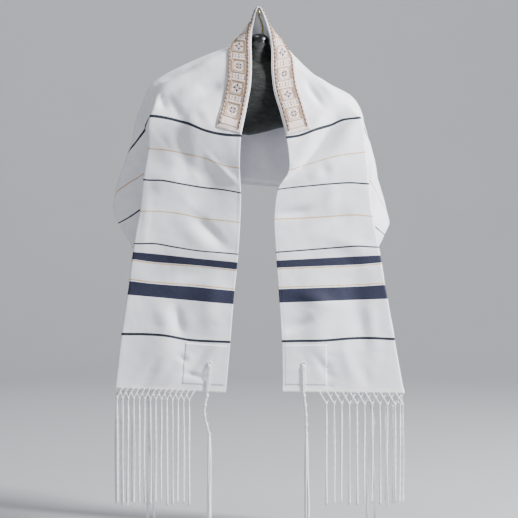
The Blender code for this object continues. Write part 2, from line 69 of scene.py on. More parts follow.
class Section(NamedTuple):
    """One line across the hung cloth, in millimetres, at its distance from the left hem."""

    run: float
    neck: tuple[float, float, float]
    fold: tuple[float, float, float]
    turn: tuple[float, float, float]
    side: tuple[float, float, float]
    edge: tuple[float, float, float]


class Fold(NamedTuple):
    """A soft trough or ridge along a line on the cloth, its height and half width in millimetres."""

    start_run: float
    start_across: float
    end_run: float
    end_across: float
    height: float
    half_width: float


class Stripe(NamedTuple):
    """A woven stripe: its distance from the hem and its width in millimetres, and its colour."""

    distance: float
    width: float
    colour: Colour


class FormSlice(NamedTuple):
    """An upright slice of the shoulder form, in millimetres, at its distance from the middle."""

    across: float
    top: float
    bottom: float
    front: float
    back: float


SECTIONS = [
    Section(
        0.000, (-84, -95, -981), (-363, -90, -971), (-320, -75, -982), (-278, -71, -992), (-236, -66, -1003),
    ),
    Section(
        0.135, (-73, -95, -855), (-347, -88, -835), (-309, -71, -849), (-270, -64, -864), (-232, -56, -878),
    ),
    Section(
        0.250, (-64, -96, -744), (-330, -86, -720), (-222, -62, -756), (-252, -50, -780), (-281, -48, -796),
    ),
    Section(
        0.369, (-53, -98, -634), (-316, -84, -607), (-212, -60, -640), (-262, -46, -676), (-304, -44, -694),
    ),
    Section(
        0.452, (-48, -100, -554), (-302, -82, -525), (-208, -58, -555), (-280, -38, -600), (-324, -36, -616),
    ),
    Section(
        0.533, (-46, -104, -480), (-293, -80, -445), (-225, -58, -487), (-318, -30, -544), (-359, -20, -560),
    ),
    Section(
        0.608, (-49, -108, -418), (-281, -78, -366), (-247, -58, -395), (-371, -6, -474), (-376, 4, -510),
    ),
    Section(
        0.692, (-45, -108, -337), (-276, -75, -284), (-292, -50, -300), (-335, 0, -346), (-340, 28, -438),
    ),
    Section(
        0.755, (-32, -99, -270), (-244, -56, -212), (-288, -14, -210), (-315, 20, -272), (-292, 52, -402),
    ),
    Section(0.820, (-21, -84, -203), (-190, -46, -166), (-246, -2, -168), (-262, 45, -232), (-228, 84, -392)),
    Section(0.880, (-19, -66, -141), (-112, -42, -128), (-165, 2, -133), (-182, 58, -200), (-160, 94, -422)),
    Section(0.940, (-20, -42, -88), (-46, -26, -80), (-68, 6, -86), (-88, 58, -160), (-92, 97, -446)),
    Section(0.985, (-16, -16, -44), (-25, 0, -40), (-32, 16, -46), (-44, 60, -140), (-45, 93, -448)),
    Section(1.030, (0, -3, 4.4), (0, 8, 2.4), (0, 29, -24), (0, 66, -150), (0, 88, -452)),
    Section(1.075, (25, -22, -57), (31, -6, -48), (36, 14, -52), (46, 60, -150), (46, 93, -456)),
    Section(1.120, (31, -50, -106), (54, -32, -92), (72, 4, -98), (90, 58, -176), (92, 97, -461)),
    Section(1.180, (32, -72, -163), (96, -46, -148), (132, 0, -160), (146, 58, -232), (142, 96, -468)),
    Section(1.240, (38, -88, -222), (160, -48, -190), (208, -2, -202), (216, 46, -272), (208, 88, -456)),
    Section(1.305, (54, -99, -279), (212, -54, -236), (250, -12, -236), (268, 22, -304), (264, 62, -456)),
    Section(1.368, (69, -108, -341), (254, -70, -290), (264, -48, -302), (289, -2, -348), (306, 32, -500)),
    Section(1.452, (75, -112, -424), (270, -74, -375), (250, -54, -405), (319, -6, -494), (336, 5, -546)),
    Section(1.527, (48, -108, -471), (278, -78, -456), (214, -56, -505), (296, -30, -562), (322, -20, -583)),
    Section(1.608, (39, -102, -546), (288, -80, -538), (204, -58, -572), (270, -40, -626), (296, -36, -640)),
    Section(1.691, (43, -98, -629), (303, -82, -616), (208, -60, -650), (260, -46, -698), (284, -44, -716)),
    Section(1.810, (51, -96, -740), (322, -84, -730), (218, -62, -764), (250, -50, -802), (271, -48, -814)),
    Section(1.925, (58, -95, -853), (342, -86, -848), (304, -70, -865), (264, -63, -882), (226, -56, -898)),
    Section(2.060, (60, -95, -979), (366, -88, -984), (322, -74, -993), (278, -70, -1003), (234, -66, -1012)),
]

LARGE_FOLDS = [
    Fold(1.455, 0.010, 1.330, 0.170, -7, 26),
    Fold(1.505, 0.060, 1.350, 0.215, 6, 30),
    Fold(0.585, 0.030, 0.480, 0.130, -5, 30),
    Fold(0.420, 0.020, 0.330, 0.180, 5, 40),
    Fold(0.720, 0.070, 0.620, 0.190, 6, 34),
    Fold(0.930, 0.200, 0.900, 0.430, 7, 30),
    Fold(1.020, 0.180, 1.040, 0.440, -7, 34),
    Fold(1.140, 0.200, 1.160, 0.430, 7, 32),
    Fold(0.170, 0.168, 0.002, 0.165, 5, 38),
    Fold(0.300, 0.060, 0.140, 0.050, 4, 34),
    Fold(1.740, 0.190, 1.960, 0.215, -5, 36),
    Fold(1.780, 0.095, 2.000, 0.090, 4, 36),
]

CREASES = [
    Fold(0.739, 0.220, 0.702, 0.158, -4.5, 13),
    Fold(0.684, 0.166, 0.556, 0.128, -3.0, 20),
    Fold(0.720, 0.130, 0.700, 0.095, -1.6, 10),
    Fold(0.742, 0.232, 0.712, 0.205, -3.0, 9),
    Fold(0.738, 0.218, 0.705, 0.172, 2.6, 9),
    Fold(0.715, 0.020, 0.700, 0.150, 4.5, 34),
    Fold(0.805, 0.075, 0.765, 0.125, -3.0, 14),
    Fold(0.790, 0.130, 0.745, 0.180, 2.4, 16),
    Fold(0.610, 0.040, 0.560, 0.120, -4.0, 28),
    Fold(0.625, 0.085, 0.565, 0.015, 2.2, 9),
    Fold(0.560, 0.150, 0.520, 0.230, 2.4, 20),
    Fold(0.452, 0.112, 0.380, 0.030, -4.0, 16),
    Fold(0.435, 0.150, 0.370, 0.070, 1.6, 20),
    Fold(0.500, 0.238, 0.360, 0.240, 1.2, 8),
    Fold(0.330, 0.040, 0.290, 0.150, -1.8, 20),
    Fold(0.218, 0.146, 0.142, 0.122, -3.2, 11),
    Fold(0.215, 0.180, 0.140, 0.156, 2.4, 18),
    Fold(0.190, 0.030, 0.130, 0.120, -1.8, 18),
    Fold(0.118, 0.050, 0.025, 0.115, -2.0, 10),
    Fold(0.104, 0.090, 0.018, 0.150, 1.6, 12),
    Fold(0.090, 0.170, 0.010, 0.210, -1.6, 14),
    Fold(1.480, 0.004, 1.352, 0.140, -3.8, 8),
    Fold(1.455, 0.000, 1.335, 0.110, 3.4, 17),
    Fold(1.405, 0.090, 1.345, 0.200, -1.8, 9),
    Fold(1.460, 0.090, 1.500, 0.115, -2.6, 12),
    Fold(1.520, 0.150, 1.470, 0.230, 2.2, 20),
    Fold(1.600, 0.010, 1.585, 0.090, -3.2, 12),
    Fold(1.620, 0.120, 1.600, 0.200, -1.8, 18),
    Fold(1.655, 0.120, 1.700, 0.240, 2.0, 20),
    Fold(1.902, 0.005, 1.866, 0.088, -3.8, 15),
    Fold(1.515, 0.140, 1.600, 0.142, 1.8, 18),
    Fold(1.830, 0.222, 1.960, 0.232, 2.6, 18),
    Fold(1.800, 0.040, 1.845, 0.150, 2.0, 18),
    Fold(1.960, 0.080, 2.035, 0.130, -1.8, 11),
    Fold(1.930, 0.150, 2.040, 0.180, 1.6, 14),
    Fold(1.980, 0.200, 2.050, 0.215, -1.5, 12),
    Fold(0.850, 0.140, 0.780, 0.250, -3.0, 13),
    Fold(0.900, 0.120, 0.830, 0.300, 2.6, 16),
    Fold(1.200, 0.130, 1.290, 0.260, -3.0, 13),
    Fold(1.150, 0.110, 1.230, 0.300, 2.6, 16),
    Fold(1.236, 0.092, 1.314, 0.112, -3.4, 9),
    Fold(1.240, 0.130, 1.305, 0.150, 2.0, 13),
    Fold(0.960, 0.090, 0.930, 0.330, -3.4, 13),
    Fold(1.085, 0.090, 1.105, 0.360, -3.2, 13),
    Fold(1.060, 0.110, 1.070, 0.420, 2.8, 14),
    Fold(0.990, 0.120, 0.985, 0.420, 2.6, 13),
    Fold(0.680, 0.330, 0.560, 0.400, -3.0, 14),
    Fold(0.650, 0.300, 0.520, 0.360, 2.4, 13),
    Fold(1.380, 0.330, 1.500, 0.400, -3.0, 14),
    Fold(1.410, 0.300, 1.540, 0.360, 2.4, 13),
    Fold(0.092, 0.122, 0.074, 0.104, -2.4, 6),
    Fold(0.046, 0.108, 0.035, 0.058, -2.0, 7),
    Fold(0.070, 0.058, 0.026, 0.057, -1.6, 5),
    Fold(1.962, 0.118, 1.968, 0.119, -1.8, 5),
    Fold(1.992, 0.118, 1.998, 0.119, -1.8, 5),
    Fold(2.010, 0.119, 2.016, 0.120, -1.5, 4),
    Fold(2.040, 0.118, 2.050, 0.119, -1.6, 5),
]


class Bow(NamedTuple):
    """How far the weave sags toward the hem, in millimetres, at places across the front panel."""

    run: float
    near: float
    middle: float
    far: float
    outer: float
    flap: float


BOWS = [
    Bow(0.000, 0.0, 0.0, 0.0, 0.0, 0.0),
    Bow(0.135, 1.5, 2.5, -4.5, -3.5, 0.0),
    Bow(0.236, 0.0, 0.0, 0.0, 0.0, 0.0),
    Bow(0.345, 0.0, 0.0, 0.0, 0.0, 0.0),
    Bow(0.369, 0.5, 1.5, -1.5, -4.5, 0.0),
    Bow(0.452, 0.0, 0.5, -5.0, -5.0, 0.0),
    Bow(0.533, -2.0, -0.5, -2.0, -3.8, -8.0),
    Bow(0.608, 2.0, -7.0, -7.0, -5.5, 0.0),
    Bow(0.692, 6.0, 8.5, -0.5, -3.5, 9.0),
    Bow(0.780, 0.0, 0.0, 0.0, 0.0, 0.0),
    Bow(1.280, 0.0, 0.0, 0.0, 0.0, 0.0),
    Bow(1.368, 3.5, 0.0, -5.0, -9.0, 0.0),
    Bow(1.452, -3.0, -6.0, -7.5, -4.0, 0.0),
    Bow(1.527, -3.0, -5.0, -6.0, -5.5, 0.0),
    Bow(1.608, 0.0, -1.2, -3.5, -5.0, 0.0),
    Bow(1.691, -1.0, -2.5, -4.0, -4.5, 0.0),
    Bow(1.715, 0.0, 0.0, 0.0, 0.0, 0.0),
    Bow(1.824, 0.0, 0.0, 0.0, 0.0, 0.0),
    Bow(1.925, 0.0, 0.0, -3.5, -3.5, 0.0),
    Bow(2.060, 0.0, 0.0, 0.0, 0.0, 0.0),
]
BOW_SHARES = (0.0, 0.16, 0.38, 0.60, 0.80, 1.0, 1.15, 2.2)

NAVY: Colour = (0.011, 0.014, 0.040)
DEEP_NAVY: Colour = (0.008, 0.013, 0.024)
GOLD: Colour = (0.60, 0.37, 0.14)
STRIPES = [
    Stripe(135.0, 6.6, DEEP_NAVY),
    Stripe(251.4, 35.6, NAVY),
    Stripe(273.9, 3.0, GOLD),
    Stripe(324.6, 3.0, GOLD),
    Stripe(337.4, 19.6, NAVY),
    Stripe(369.0, 3.6, DEEP_NAVY),
    Stripe(452.0, 3.0, GOLD),
    Stripe(533.0, 4.2, DEEP_NAVY),
    Stripe(608.0, 3.0, GOLD),
    Stripe(692.0, 6.8, DEEP_NAVY),
]


class Kink(NamedTuple):
    """Where a tassel swings to, in millimetres: how far below the hem and how far to the right."""

    down: float
    beside: float


class Hang(NamedTuple):
    """How a tassel hangs: its swings, and how far right its two halves end, in millimetres."""

    kinks: tuple[Kink, ...]
    left_half: float
    right_half: float
    bundle: float


class Hem(Enum):
    """The two ends of the cloth."""

    LEFT = "left"
    RIGHT = "right"


class Edge(Enum):
    """The two long edges of the cloth."""

    NECK = "front"
    OUTER = "back"


EYELETS_ACROSS = {
    (Hem.LEFT, Edge.NECK): 46 * MM,
    (Hem.RIGHT, Edge.NECK): 53 * MM,
    (Hem.LEFT, Edge.OUTER): 46 * MM,
    (Hem.RIGHT, Edge.OUTER): 46 * MM,
}
HANGS = {
    (Hem.LEFT, Edge.NECK): Hang((Kink(-12, 0), Kink(0, 0), Kink(52, -7.5), Kink(107, 4.5)), 0, 0, 4.2),
    (Hem.RIGHT, Edge.NECK): Hang((Kink(-12, 0), Kink(0, 0), Kink(43, 4), Kink(107, 6)), -1, 3, 3.2),
    (Hem.LEFT, Edge.OUTER): Hang((Kink(-12, 0), Kink(0, 0), Kink(50, 3), Kink(107, 0)), 0, 13, 2.9),
    (Hem.RIGHT, Edge.OUTER): Hang((Kink(-12, 0), Kink(0, 0), Kink(53, 11), Kink(107, 4)), -8, 10, 2.9),
}


class Nodes:
    """Short calls that add and join a material's nodes."""

    def __init__(self, name: str) -> None:
        """Starts a material of that name with its shader."""
        self.material = bpy.data.materials.new(name)
        self.material.use_nodes = True
        self.tree = self.material.node_tree
        self.shader = self.tree.nodes["Principled BSDF"]

    def add(self, kind: str, inputs: dict | None = None, **settings: object) -> bpy.types.Node:
        """Adds a node.

        Args:
            kind: the node's type without "ShaderNode".
            inputs: sockets by name or number, with a value or a socket to join.
            settings: the node's own settings.

        Returns:
            The node.
        """
        node = self.tree.nodes.new("ShaderNode" + kind)
        for key, value in settings.items():
            setattr(node, key, value)
        for key, value in (inputs or {}).items():
            self.feed(node.inputs[key], value)
        return node

    def feed(self, socket: bpy.types.NodeSocket, value: object) -> None:
        """Sets a socket's value, or joins another socket to it."""
        if isinstance(value, bpy.types.NodeSocket):
            self.tree.links.new(value, socket)
        else:
            socket.default_value = value

    def maths(self, operation: str, *values: object) -> bpy.types.NodeSocket:
        """Returns the result of a Math node."""
        node = self.add("Math", operation=operation)
        for number, value in enumerate(values):
            self.feed(node.inputs[number], value)
        return node.outputs[0]

    def blend(self, share: object, low: object, high: object, mode: str = "MIX") -> bpy.types.NodeSocket:
        """Returns a mix of two colours."""
        node = self.add("Mix", data_type="RGBA", blend_type=mode)
        for number, value in ((0, share), (6, low), (7, high)):
            if isinstance(value, tuple):
                value = (*value, 1.0)
            self.feed(node.inputs[number], value)
        return node.outputs[2]

    def spread(
        self, value: object, low: float, high: float, to_low: float = 0, to_high: float = 1
    ) -> bpy.types.NodeSocket:
        """Returns a value mapped from one range to another, clamped."""
        node = self.add("MapRange", {0: value, 1: low, 2: high, 3: to_low, 4: to_high})
        return node.outputs[0]

    def bump(
        self, height: object, distance: float, strength: float = 1.0, under: object = None
    ) -> bpy.types.NodeSocket:
        """Returns a normal bumped by a height."""
        node = self.add("Bump", {"Height": height, "Distance": distance, "Strength": strength})
        if under is not None:
            self.feed(node.inputs["Normal"], under)
        return node.outputs[0]

    def noise(
        self, scale: float, detail: float = 3, rough: float = 0.5, at: object = None
    ) -> bpy.types.NodeSocket:
        """Returns noise on Object coordinates, or on the coordinates given."""
        if at is None:
            at = self.add("TexCoord").outputs["Object"]
        node = self.add("TexNoise", {"Vector": at, "Scale": scale, "Detail": detail, "Roughness": rough})
        return node.outputs[0]

    def plan(self) -> tuple[bpy.types.NodeSocket, bpy.types.NodeSocket]:
        """Returns the two coordinates of the piece's own plan, in metres."""
        spot = self.add("UVMap", uv_map="plan")
        split = self.add("SeparateXYZ", {0: spot.outputs[0]})
        return split.outputs[0], split.outputs[1]

    def waves(self, value: object, period: float) -> bpy.types.NodeSocket:
        """Returns a wave from 0 to 1 along a coordinate."""
        turned = self.maths("MULTIPLY", value, 2 * math.pi / period)
        return self.maths("MULTIPLY_ADD", self.maths("SINE", turned), 0.5, 0.5)

    def finish(self, **sockets: object) -> bpy.types.Material:
        """Sets the shader's sockets, named with _ for a space, and returns the material."""
        for key, value in sockets.items():
            name = key.replace("_", " ")
            if isinstance(value, tuple):
                value = (*value, 1.0)
            self.feed(self.shader.inputs[name], value)
        return self.material


@dataclass(frozen=True)
class WovenCloth:
    """White cloth with fine crosswise ribs, a satin sheen and woven stripes."""

    white: Colour = (0.90, 0.90, 0.93)
    shade: Colour = (0.80, 0.81, 0.89)
    rib: float = 1.9 * MM
    thread: float = 0.9 * MM
    length: float = 2.06
    stripes: Sequence[Stripe] = tuple(STRIPES)

    def make(self, name: str) -> bpy.types.Material:
        """Returns the material.

        Args:
            name: the material's name.

        Returns:
            The material, which reads the piece's plan.
        """
        nodes = Nodes(name)
        run, across = nodes.plan()
        mottle = nodes.noise(38, 4, 0.6)
        ground = nodes.blend(nodes.spread(mottle, 0.35, 0.75), self.white, self.shade)
        ribs, picks = nodes.waves(run, self.rib), nodes.waves(across, self.thread)
        ground = nodes.blend(nodes.maths("MULTIPLY", ribs, 0.10), ground, self.shade)
        from_hem = nodes.maths("MINIMUM", run, nodes.maths("SUBTRACT", self.length, run))
        wander = nodes.maths("MULTIPLY_ADD", nodes.noise(900, 2), 0.6 * MM, -0.3 * MM)
        from_hem = nodes.maths("ADD", from_hem, wander)
        colour = ground
        for stripe in self.stripes:
            away = nodes.maths("ABSOLUTE", nodes.maths("SUBTRACT", from_hem, stripe.distance * MM))
            half = stripe.width * MM / 2
            share = nodes.spread(away, half - 0.25 * MM, half + 0.25 * MM, 1, 0)
            flecked = nodes.maths("MULTIPLY", share, nodes.spread(picks, 0.0, 0.25, 0.90, 1.0))
            if stripe.colour == GOLD:
                flecked = nodes.maths("MULTIPLY", flecked, nodes.spread(mottle, 0.35, 0.60, 0.70, 1.0))
            colour = nodes.blend(flecked, colour, stripe.colour)
        weave = nodes.maths("ADD", nodes.maths("MULTIPLY", ribs, 0.6), nodes.maths("MULTIPLY", picks, 0.4))
        soft = nodes.bump(nodes.noise(60, 5, 0.65), 0.8 * MM, 0.5)
        normal = nodes.bump(weave, 0.16 * MM, 0.7, soft)
        gloss = nodes.spread(nodes.noise(210, 3), 0.3, 0.7, 0.46, 0.60)
        return nodes.finish(
            Base_Color=colour, Roughness=gloss, Normal=normal, Sheen_Weight=0.08,
            Sheen_Roughness=0.45, Specular_IOR_Level=0.18,
        )


@dataclass(frozen=True)
class BandSatin:
    """Cream satin ground of the neckband, finely stitched over."""

    cream: Colour = (0.66, 0.50, 0.42)
    pale: Colour = (0.84, 0.76, 0.75)
    stitch: float = 1.2 * MM

    def make(self, name: str) -> bpy.types.Material:
        """Returns the material, which reads the piece's plan."""
        nodes = Nodes(name)
        run, across = nodes.plan()
        mottle = nodes.noise(260, 5, 0.65)
        ground = nodes.blend(nodes.spread(mottle, 0.36, 0.62), self.cream, self.pale)
        diagonal = nodes.waves(nodes.maths("ADD", run, across), self.stitch)
        cross = nodes.waves(nodes.maths("SUBTRACT", run, across), self.stitch)
        quilted = nodes.maths("MULTIPLY", diagonal, cross)
        ground = nodes.blend(nodes.maths("MULTIPLY", quilted, 0.25), ground, self.pale)
        normal = nodes.bump(quilted, 0.25 * MM, 0.7, nodes.bump(mottle, 0.3 * MM, 0.5))
        return nodes.finish(
            Base_Color=ground, Roughness=nodes.spread(mottle, 0.3, 0.7, 0.42, 0.56),
            Normal=normal, Sheen_Weight=0.2, Sheen_Roughness=0.4,
        )


@dataclass(frozen=True)
class Thread:
    """Spun thread: its colour, its twist, and a second colour twisted in where it has one."""

    colour: Colour
    second: Colour
    ply: float = 1.0 * MM
    roughness: float = 0.6
    slant: float = 1.0

    def make(self, name: str) -> bpy.types.Material:
        """Returns the material, which reads the thread's plan: along it, and once round it."""
        nodes = Nodes(name)
        along, around = nodes.plan()
        turn = nodes.maths("DIVIDE", along, self.ply * 4)
        turn = nodes.maths("ADD", turn, nodes.maths("MULTIPLY", around, self.slant))
        plies = nodes.waves(turn, 0.5)
        fuzz = nodes.noise(700, 4, 0.6)
        colour = nodes.blend(nodes.spread(plies, 0.25, 0.75), self.colour, self.second)
        worn = nodes.maths("MULTIPLY", nodes.spread(fuzz, 0.4, 0.8), 0.22)
        colour = nodes.blend(worn, colour, tuple(0.62 * part for part in self.colour))
        normal = nodes.bump(plies, 0.35 * MM, 0.8, nodes.bump(fuzz, 0.2 * MM, 0.6))
        return nodes.finish(
            Base_Color=colour, Normal=normal, Sheen_Weight=0.3, Sheen_Roughness=0.5,
            Roughness=nodes.spread(fuzz, 0.3, 0.7, self.roughness - 0.08, self.roughness + 0.08),
        )


@dataclass(frozen=True)
class CrushedVelvet:
    """Dark green-black pile, brushed into lighter and darker patches."""

    dark: Colour = (0.0008, 0.0016, 0.0014)
    light: Colour = (0.015, 0.021, 0.019)

    def make(self, name: str) -> bpy.types.Material:
        """Returns the material."""
        nodes = Nodes(name)
        place = nodes.add("TexCoord").outputs["Object"]
        streaked = nodes.add("Mapping", {"Vector": place, "Scale": (0.55, 1.0, 1.7)}).outputs[0]
        broad = nodes.noise(58, 6, 0.68, streaked)
        fine = nodes.noise(340, 4, 0.6, streaked)
        patches = nodes.maths(
            "ADD", nodes.maths("MULTIPLY", broad, 0.72), nodes.maths("MULTIPLY", fine, 0.28)
        )
        colour = nodes.blend(nodes.spread(patches, 0.47, 0.66), self.dark, self.light)
        normal = nodes.bump(fine, 1.0 * MM, 0.9, nodes.bump(broad, 3.2 * MM, 0.8))
        return nodes.finish(
            Base_Color=colour, Roughness=nodes.spread(patches, 0.3, 0.7, 0.80, 0.55), Normal=normal,
            Sheen_Weight=0.05, Sheen_Roughness=0.4, Sheen_Tint=(0.62, 0.78, 0.72),
        )


@dataclass(frozen=True)
class MouldedPlastic:
    """Near-black moulded plastic with a fine grain and rubbed patches."""

    colour: Colour = (0.004, 0.005, 0.006)
    rubbed: Colour = (0.024, 0.025, 0.028)

    def make(self, name: str) -> bpy.types.Material:
        """Returns the material."""
        nodes = Nodes(name)
        grain = nodes.noise(900, 3, 0.5)
        wear = nodes.noise(70, 5, 0.7)
        colour = nodes.blend(nodes.spread(wear, 0.55, 0.75), self.colour, self.rubbed)
        return nodes.finish(
            Base_Color=colour, Roughness=nodes.spread(wear, 0.3, 0.7, 0.24, 0.38),
            Normal=nodes.bump(grain, 0.08 * MM, 0.5), Specular_IOR_Level=0.6,
        )


@dataclass(frozen=True)
class AgedBrass:
    """Brass wire, bright where it rubs and dull olive elsewhere."""

    bright: Colour = (0.42, 0.36, 0.17)
    dull: Colour = (0.17, 0.17, 0.08)

    def make(self, name: str) -> bpy.types.Material:
        """Returns the material."""
        nodes = Nodes(name)
        patina = nodes.noise(150, 5, 0.65)
        fine = nodes.noise(1100, 3, 0.6)
        colour = nodes.blend(nodes.spread(patina, 0.40, 0.66), self.bright, self.dull)
        return nodes.finish(
            Base_Color=colour, Metallic=1.0, Roughness=nodes.spread(patina, 0.3, 0.7, 0.24, 0.46),
            Normal=nodes.bump(fine, 0.05 * MM, 0.5),
        )


@dataclass(frozen=True)
class StudioPaper:
    """Plain pale floor."""

    colour: Colour = (0.36, 0.37, 0.39)

    def make(self, name: str) -> bpy.types.Material:
        """Returns the material."""
        nodes = Nodes(name)
        colour = nodes.blend(nodes.noise(3, 2), self.colour, tuple(0.96 * part for part in self.colour))
        return nodes.finish(
            Base_Color=colour, Roughness=0.85, Emission_Color=self.colour, Emission_Strength=0.22,
        )


def lay_grid(shape: bmesh.types.BMesh, points: np.ndarray, plan: np.ndarray | None = None) -> None:
    """Adds a grid and moves its vertices to rows of points.

    Args:
        shape: the bmesh to add to.
        points: the places, by row and column.
        plan: the plan coordinates, by row and column.
    """
    rows, columns = points.shape[:2]
    made = bmesh.ops.create_grid(shape, x_segments=columns - 1, y_segments=rows - 1, size=0.5)
    layer = shape.loops.layers.uv.get("plan") or shape.loops.layers.uv.new("plan")
    spots = {}
    for vert in made["verts"]:
        column = round((vert.co.x + 0.5) * (columns - 1))
        row = round((vert.co.y + 0.5) * (rows - 1))
        spots[vert] = (row, column)
        vert.co = points[row, column]
    if plan is None:
        return
    for face in {face for vert in made["verts"] for face in vert.link_faces}:
        for loop in face.loops:
            loop[layer].uv = plan[spots[loop.vert]]


def tube_points(
    path: np.ndarray, halves: np.ndarray, sides: int, lobes: int, pitch: float
) -> tuple[np.ndarray, np.ndarray]:
    """Works out a tube's surface, lobed and twisted like plied thread.

    Args:
        path: the points along its middle.
        halves: the half width at each of them.
        sides: the faces round it.
        lobes: the plies that show, or 0 for a plain round wire.
        pitch: the length in which a ply goes once round.

    Returns:
        The points and their plan, along it and round it.
    """
    steps = np.linalg.norm(np.diff(path, axis=0), axis=1)
    along = np.concatenate([[0], np.cumsum(steps)])
    tangents = np.gradient(path, axis=0)
    tangents /= np.linalg.norm(tangents, axis=1)[:, None] + 1e-12
    side = Vector((1.0, 0.0, 0.0))
    if abs(tangents[0][0]) > 0.9:
        side = Vector((0.0, 1.0, 0.0))
    angles = np.linspace(0, 2 * math.pi, sides + 1)
    angles[-1] = 0
    points, plan = [], []
    for number, (spot, half) in enumerate(zip(path, halves)):
        tangent = Vector(tangents[number])
        side = (side - tangent * side.dot(tangent)).normalized()
        beside = tangent.cross(side)
        swell = 1 + (
            0.20 * np.cos(lobes * (angles - 2 * math.pi * along[number] / pitch))
            if lobes else 0 * angles
        )
        ring = np.outer(np.cos(angles) * swell, side) + np.outer(np.sin(angles) * swell, beside)
        points.append(spot + half * ring)
        plan.append([(along[number], turn) for turn in np.linspace(0, 1, sides + 1)])
    return np.array(points), np.array(plan)


def add_tube(
    shape: bmesh.types.BMesh, path: Sequence, half: float | Sequence[float], sides: int = 6,
    lobes: int = 0, pitch: float = 6 * MM,
) -> None:
    """Adds a tube along a path.

    Args:
        shape: the bmesh to add to.
        path: the points along its middle.
        half: its half width, or one for each point.
        sides: the faces round it.
        lobes: the plies that show.
        pitch: the length in which a ply goes once round.
    """
    path = np.array([list(point) for point in path], float)
    halves = np.full(len(path), half) if np.isscalar(half) else np.array(half, float)
    points, plan = tube_points(path, halves, sides, lobes, pitch)
    lay_grid(shape, points, plan)


def close_tubes(shape: bmesh.types.BMesh) -> None:
    """Merges the seams of tubes, fills their ends and points their faces outward."""
    bmesh.ops.remove_doubles(shape, verts=shape.verts, dist=1e-7)
    open_edges = [edge for edge in shape.edges if edge.is_boundary]
    bmesh.ops.holes_fill(shape, edges=open_edges, sides=0)
    bmesh.ops.recalc_face_normals(shape, faces=shape.faces)


def smooth_path(points: Sequence, step: float) -> np.ndarray:
    """Returns places on a smooth curve through points, about a step apart."""
    points = np.array([list(point) for point in points], float)
    lengths = np.concatenate([[0], np.cumsum(np.linalg.norm(np.diff(points, axis=0), axis=1))])
    count = max(2, int(lengths[-1] / step) + 1)
    return smooth_columns(lengths, points, np.linspace(0, lengths[-1], count))


@dataclass
class Kept:
    """What a finished piece is given: its finish and what it stands for."""

    finish: bpy.types.Material
    slot: str
    replaces: tuple[str, ...] = ()
    wall: float = 0.0
    subdivisions: int = 0


def keep_piece(name: str, shape: bmesh.types.BMesh, kept: Kept) -> bpy.types.Object:
    """Makes a bmesh a finished piece of the object.

    Args:
        name: the piece's name.
        shape: its bmesh, which is freed.
        kept: its finish and what it stands for.

    Returns:
        The piece, riding on the body.
    """
    mesh = bpy.data.meshes.new(name)
    shape.to_mesh(mesh)
    shape.free()
    mesh.materials.append(kept.finish)
    mesh.shade_smooth()
    piece = bpy.data.objects.new(name, mesh)
    bpy.context.collection.objects.link(piece)
    if kept.subdivisions:
        finer = piece.modifiers.new("Finer", "SUBSURF")
        finer.levels = finer.render_levels = kept.subdivisions
    if kept.wall:
        wall = piece.modifiers.new("Wall", "SOLIDIFY")
        wall.thickness = kept.wall
        wall.offset = 0
    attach(piece, BODY)
    if kept.replaces:
        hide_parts(*kept.replaces)
    log.info("%s: %d faces", name, len(mesh.polygons))
    return piece


def smooth_columns(knots: Sequence[float], values: Sequence, at: Sequence[float]) -> np.ndarray:
    """Returns values interpolated at places, by a smooth curve through the knots."""
    knots, values = np.asarray(knots, float), np.asarray(values, float)
    slopes = np.gradient(values, knots, axis=0)
    at = np.clip(np.asarray(at, float), knots[0], knots[-1])
    index = np.clip(np.searchsorted(knots, at, side="right") - 1, 0, len(knots) - 2)
    step = knots[index + 1] - knots[index]
    shape = (-1,) + (1,) * (values.ndim - 1)
    share = ((at - knots[index]) / step).reshape(shape)
    step = step.reshape(shape)
    square, cube = share ** 2, share ** 3
    return (
        (2 * cube - 3 * square + 1) * values[index]
        + (cube - 2 * square + share) * step * slopes[index]
        + (3 * square - 2 * cube) * values[index + 1]
        + (cube - square) * step * slopes[index + 1]
    )


